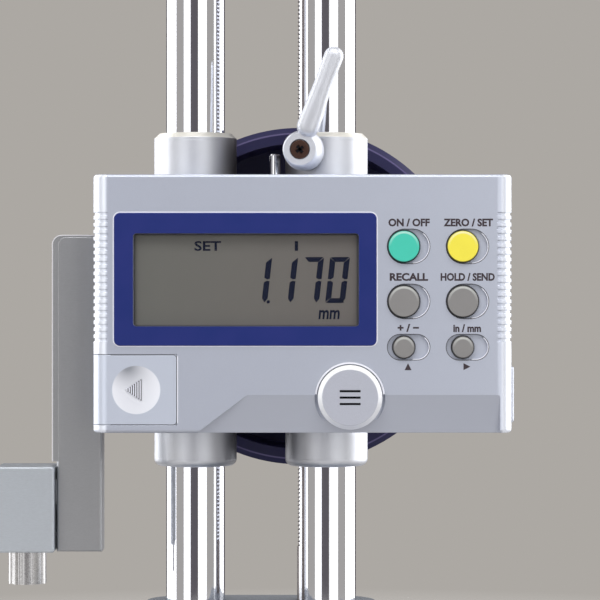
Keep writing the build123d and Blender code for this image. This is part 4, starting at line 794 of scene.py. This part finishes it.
band("pocket_glints", glints, 0.36 * MM, front_y - 0.01 * MM, front_y + 1.15 * MM, painted_highlight, "slider")

# Fine feed knob: three black lines on it, and a painted highlight on the lip of its well above the bevel

line_half = 3.75 * MM
line_pitch = 2.3 * MM
line_width = 0.78 * MM
lip_radius = 12.3 * MM
bars = [[(knob_centre.x - line_half, knob_centre.z + count * line_pitch),
         (knob_centre.x + line_half, knob_centre.z + count * line_pitch)] for count in (-1, 0, 1)]
band("knob_lines", bars, line_width, knob_low.y - ink_lift, knob_low.y + ink_lift, ink_and_slot_shade, "fine_feed")
band("knob_well_highlight", [arc((knob_centre.x, knob_centre.z), lip_radius, 5, 175, 48)], 0.62 * MM,
     front_y - 0.02 * MM, front_y + 1.2 * MM, painted_highlight, "slider")

# Battery cover: a ribbed arrow in its thumb dish, with painted highlights on the ribs and painted shade
# between them, and the gap round it with a painted highlight along its edge

thumb_tip = -48.22
thumb_back = -42.5
thumb_half = 3.9
rib_half = 3.78
rib_start = 0.45
rib_count = 7
rib_pitch = 0.79
ribs = []
for count in range(rib_count):
    rib_x = thumb_back - rib_start - count * rib_pitch
    half = rib_half * (rib_x - thumb_tip) / (thumb_back - thumb_tip)
    ribs.append([flat_point(rib_x, dish_z - half), flat_point(rib_x, dish_z + half)])
band("thumb_ribs", ribs, 0.40 * MM, front_y + 0.02 * MM, front_y + 1.0 * MM, painted_highlight, "battery_cover")
# Painted shade: the arrow shows dark between the ribs.
thumb_mark = [flat_point(thumb_tip, dish_z), flat_point(thumb_back, dish_z - thumb_half),
              flat_point(thumb_back, dish_z + thumb_half)]
plates("thumb_arrow_shade", [thumb_mark], front_y + 0.22 * MM, front_y + 1.0 * MM, dark_joint_and_shade, "battery_cover")
gap_low, gap_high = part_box("battery_cover")
gap_start = gap_low.x + 6.5 * MM
gap_corner = 1.2 * MM
gap_radius = 1.25 * MM
gap_path = [(gap_start, gap_high.z)]
gap_path += arc((gap_high.x - gap_corner, gap_high.z - gap_corner), gap_radius, 90, 0, 6)
gap_path += arc((gap_high.x - gap_corner, gap_low.z + gap_corner), gap_radius, 0, -90, 6)
gap_path += [(gap_start, gap_low.z)]
band("battery_gap", [gap_path], 0.22 * MM, front_y - 0.02 * MM, front_y + 0.10 * MM, dark_joint_and_shade, "slider")
lit_x = gap_high.x + 0.42 * MM
band("battery_gap_glint", [[(lit_x, gap_high.z - 0.4 * MM), (lit_x, gap_low.z + 0.6 * MM)]], 0.36 * MM,
     front_y - 0.03 * MM, front_y + 0.10 * MM, painted_highlight, "slider")

# Collar ends: they carry the wipers and close the collars with a chamfer above and a round below

column_low, column_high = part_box("right_column")
column_x = (column_low.x + column_high.x) / 2
casting_low, casting_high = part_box("slider_casting")
collar_radius = casting_high.x - column_x
inner_radius = 11.25 * MM
top_from = casting_high.z - 1.2 * MM
low_from = casting_low.z + 2.0 * MM
top_end = casting_high.z + 1.7 * MM
low_end = casting_low.z - 1.0 * MM
chamfer = 1.8 * MM
upper_end = [(inner_radius, top_from), (collar_radius, top_from), (collar_radius, top_end - chamfer),
             (collar_radius - chamfer, top_end), (inner_radius, top_end)]
round_edge = 2.6 * MM
lower_round = arc((collar_radius - round_edge, low_end + round_edge), round_edge, -90, 0, 6)
lower_end = [(inner_radius, low_from), (inner_radius, low_end)] + lower_round + [(collar_radius, low_from)]
collar_ends = turned("collar_ends", ((column_x, 0.0), (-column_x, 0.0)), (upper_end, lower_end), aluminium,
                     "slider")
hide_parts("wiper_rings")

# Probe terminal: a polished pin with a chamfered head

pin_low, pin_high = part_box("probe_terminal")
pin_radius = 2.1 * MM
pin_chamfer = 0.5 * MM
pin_top = pin_high.z + 1.2 * MM
pin = [(0.0, pin_low.z), (pin_radius, pin_low.z), (pin_radius, pin_top - pin_chamfer),
       (pin_radius - pin_chamfer, pin_top), (0.0, pin_top)]
pin_middle = (pin_low + pin_high) / 2
terminal = turned("terminal_pin", ((pin_middle.x, pin_middle.y),), (pin,), chrome, "slider",
                  steps=40)
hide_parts("probe_terminal")

# Scriber arm: its flank, and a painted highlight along its left and top edge

arm_low, arm_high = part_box("scriber_arm")
arm_left = -77.4 * MM
arm_inner = -74.0 * MM
arm_top = arm_high.z + 0.4 * MM
arm_right = arm_high.x - 1.0 * MM
flank_foot = middle_z - 58.5 * MM
bend = 3.4 * MM
flank_top = arm_top - 4.5 * MM
outer_path = [(arm_left, flank_foot)] + arc((arm_left + bend, arm_top - bend), bend, 180, 90, 8)
outer_path += [(arm_right, arm_top)]
flank = outer_path + [(arm_right, flank_top)] + arc((arm_inner + bend, flank_top - bend), bend, 90, 180, 4)
flank += [(arm_inner, flank_foot)]
plates("arm_flank", [flank], arm_low.y + 0.15 * MM, arm_high.y - 0.15 * MM, arm_steel, "slider")
edge_inset = 0.22 * MM
edge_path = []
for x, z in outer_path:
    inward = edge_inset if x < arm_left + bend else 0.0
    down = edge_inset if z > arm_top - bend else 0.0
    edge_path.append((x + inward, z - down))
band("arm_bright_edge", [edge_path], 0.46 * MM, arm_low.y - 0.05 * MM, arm_high.y - 0.1 * MM, edge_highlight_steel,
     "slider")

# Clamp lever: a leaning conical hub with a rounded finger grip

lever_low, lever_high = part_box("clamp_lever")
screw_low, screw_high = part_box("lever_screw")
hub = (screw_low + screw_high) / 2
hub_back = lever_high.y
hub_front = lever_low.y


def ring_layer(y, radius, x=0.0, steps=48):
    """A circle round the hub's axis moved right by x; radius and x are in millimetres."""
    angles = [2 * math.pi * step / steps for step in range(steps)]
    return [(hub.x + x * MM + radius * MM * math.cos(angle), y, hub.z + radius * MM * math.sin(angle))
            for angle in angles]


hub_depth = hub_front - hub_back
# Share of the hub's depth from its back, radius and lean to the right
hub_cone = ((0.0, 7.5, 1.5), (0.35, 7.4, 1.3), (0.62, 7.1, 0.9), (0.85, 6.6, 0.35), (0.95, 6.3, 0.1),
            (1.0, 5.8, 0.0))
well_depth = 1.6 * MM
well_mouth = 3.75
well_foot = 3.6
hub_layers = [ring_layer(hub_back + share * hub_depth, radius, x) for share, radius, x in hub_cone]
hub_layers += [ring_layer(hub_front, well_mouth), ring_layer(hub_front + well_depth, well_foot)]
layered("lever_hub", hub_layers, lever_silver, "clamp_lever")

# X, Z and half width of the grip from its foot to its tip, from the hub's axis
grip_line = ((3.0, 8.3, 4.1), (5.0, 13.6, 3.95), (6.7, 18.7, 3.6), (8.6, 23.9, 3.4), (10.5, 29.0, 3.45),
             (12.4, 34.0, 3.6))


def round_end(end, beside, inset, steps=10):
    """The cap of the grip's outline round one end of its line, facing away from the point beside it."""
    x, z, radius = end
    outward = math.atan2(z - beside[1], x - beside[0])
    angles = [outward + math.pi / 2 - math.pi * step / steps for step in range(1, steps)]
    return [(x + (radius - inset) * math.cos(angle), z + (radius - inset) * math.sin(angle))
            for angle in angles]


def grip_layer(y, inset):
    """Outline of the grip at the depth y, drawn in by inset."""
    left_side = []
    right_side = []
    for place, (x, z, radius) in enumerate(grip_line):
        before = grip_line[max(place - 1, 0)]
        after = grip_line[min(place + 1, len(grip_line) - 1)]
        along = Vector((after[0] - before[0], after[1] - before[1])).normalized()
        side = Vector((-along.y, along.x)) * (radius - inset)
        left_side.append((x + side.x, z + side.y))
        right_side.append((x - side.x, z - side.y))
    outline = list(reversed(right_side)) + round_end(grip_line[0], grip_line[1], inset)
    outline += left_side + round_end(grip_line[-1], grip_line[-2], inset)
    return [(hub.x + x * MM, y, hub.z + z * MM) for x, z in outline]


grip_gap = 3.9 * MM
grip_depth = 7.6 * MM
grip_round = 3.05
grip_back = hub_back - grip_gap
grip_front = grip_back - grip_depth
grip_layers = []
for part in (0, 30, 60, 90):
    turn = math.radians(part)
    grip_layers.append(grip_layer(grip_back - grip_round * MM * (1 - math.cos(turn)),
                                  grip_round * (1 - math.sin(turn))))
for part in (0, 15, 30, 45, 60, 75, 90):
    turn = math.radians(part)
    grip_layers.append(grip_layer(grip_front + grip_round * MM * (1 - math.sin(turn)),
                                  grip_round * (1 - math.cos(turn))))
grip = layered("lever_grip", grip_layers, lever_silver, "clamp_lever")
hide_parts("clamp_lever")

# Painted shade in the lever screw's cross slot.
slot_reach = 1.6 * MM
slot_paths = []
for tilt in (-47, 43):
    reach = Vector((math.cos(math.radians(tilt)), math.sin(math.radians(tilt)))) * slot_reach
    slot_paths.append([(hub.x - reach.x, hub.z - reach.y), (hub.x + reach.x, hub.z + reach.y)])
band("lever_screw_slot_shade", slot_paths, 0.95 * MM, screw_low.y - 0.05 * MM, screw_low.y + 0.3 * MM, ink_and_slot_shade,
     "clamp_lever")

# Camera, light and floor

picture = bpy.context.scene
view_camera = bpy.data.objects.new("reader_view", bpy.data.cameras.new("reader_view"))
picture.collection.objects.link(view_camera)
view_camera.data.angle = 2 * math.atan(picture_side / 2 / camera_distance)
view_camera.data.clip_start = 0.01
view_camera.location = (camera_x, front_y - camera_distance, middle_z + camera_rise)
view_camera.rotation_euler = (math.pi / 2, 0, 0)
picture.camera = view_camera
picture.view_settings.view_transform = "Standard"


def softbox(name, place, aim, width, height, power):
    """A rectangular lamp that lights the gauge but doesn't show itself."""
    lamp = bpy.data.lights.new(name, "AREA")
    lamp.shape = "RECTANGLE"
    lamp.size = width
    lamp.size_y = height
    lamp.energy = power
    holder = bpy.data.objects.new(name, lamp)
    picture.collection.objects.link(holder)
    holder.location = place
    holder.rotation_euler = (Vector(aim) - Vector(place)).to_track_quat("-Z", "Y").to_euler()
    holder.visible_camera = False


def around(azimuth, distance, height):
    """A place round the gauge; the azimuth is in degrees from the reader towards +X."""
    angle = math.radians(azimuth)
    return Vector((camera_x + distance * math.sin(angle), -distance * math.cos(angle), height))


strip_distance = 1.6
strip_middle = 0.9
strip_height = 2.4
for side, word in ((-1, "left"), (1, "right")):
    for name, azimuth, width, power in (("front_strip", 28.5, 0.98, 8.2), ("side_strip", 112.0, 2.0, 36.0)):
        softbox(f"{name}_{word}", around(side * azimuth, strip_distance, strip_middle),
                (camera_x, 0, strip_middle), width, strip_height, power)
softbox("top_light", (0.03, -0.43, 0.80), (camera_x, 0, middle_z), 0.7, 0.3, 3.4)


def studio_world():
    """Even light for matt surfaces; the camera, metal and glass see the plain background."""
    world = bpy.data.worlds.new("studio")
    world.use_nodes = True
    shading = Shading(world.node_tree)
    backdrop = shading.tree.nodes["Background"]
    camera_ray, glossy_ray, transmission_ray = shading.node(
        "ShaderNodeLightPath", output=("Is Camera Ray", "Is Glossy Ray", "Is Transmission Ray"))
    seen = (camera_ray + glossy_ray + transmission_ray).limited()
    shading.feed(backdrop.inputs["Color"], shading.mix(seen, (0.40, 0.40, 0.41), background_colour))
    shading.feed(backdrop.inputs["Strength"], 1.0)
    return world


picture.world = studio_world()


def dark_screen(name, first, last, distance, shade):
    """A dark upright screen between two azimuths, which shows only in polished metal."""
    foot = -0.4
    head = 2.2
    ends = [around(azimuth, distance, height) for azimuth, height in
            ((first, foot), (last, foot), (last, head), (first, head))]
    mesh = bpy.data.meshes.new(name)
    mesh.from_pydata([tuple(end) for end in ends], [], [(0, 1, 2, 3)])
    mesh.materials.append(Finish(name, shade, 0.9).material)
    screen = bpy.data.objects.new(name, mesh)
    picture.collection.objects.link(screen)
    for ray in ("camera", "diffuse", "shadow", "transmission", "volume_scatter"):
        setattr(screen, "visible_" + ray, False)


dark_screen("reader_shade", -19, 9, 1.35, (0.10, 0.09, 0.10))
dark_screen("left_rear_shade", -174, -148, 1.5, (0.14, 0.13, 0.14))
dark_screen("right_rear_shade", 148, 174, 1.5, (0.14, 0.13, 0.14))


def studio_floor():
    """A round pale floor that fades out, so that the backdrop goes on behind and below it."""
    mesh = bpy.data.meshes.new("floor")
    reach = 0.46
    corners = 96
    solid_part = 0.16
    fading_part = 0.27
    angles = [2 * math.pi * corner / corners for corner in range(corners)]
    mesh.from_pydata([(camera_x + reach * math.cos(angle), reach * math.sin(angle), 0) for angle in angles],
                     [], [tuple(range(corners))])
    finish = Finish("floor", floor_colour, 0.85)
    x, y, _ = finish.where()
    away = ((x - camera_x) * (x - camera_x) + y * y).root()
    far = ((away - solid_part) / fading_part).limited()
    clear = finish.node("ShaderNodeBsdfTransparent")
    faded = finish.node("ShaderNodeMixShader", None,
                        {0: far, 1: Reading(finish, finish.surface.outputs[0]), 2: clear})
    finish.feed(finish.tree.nodes["Material Output"].inputs["Surface"], faded)
    mesh.materials.append(finish.material)
    floor = bpy.data.objects.new("floor", mesh)
    picture.collection.objects.link(floor)


studio_floor()
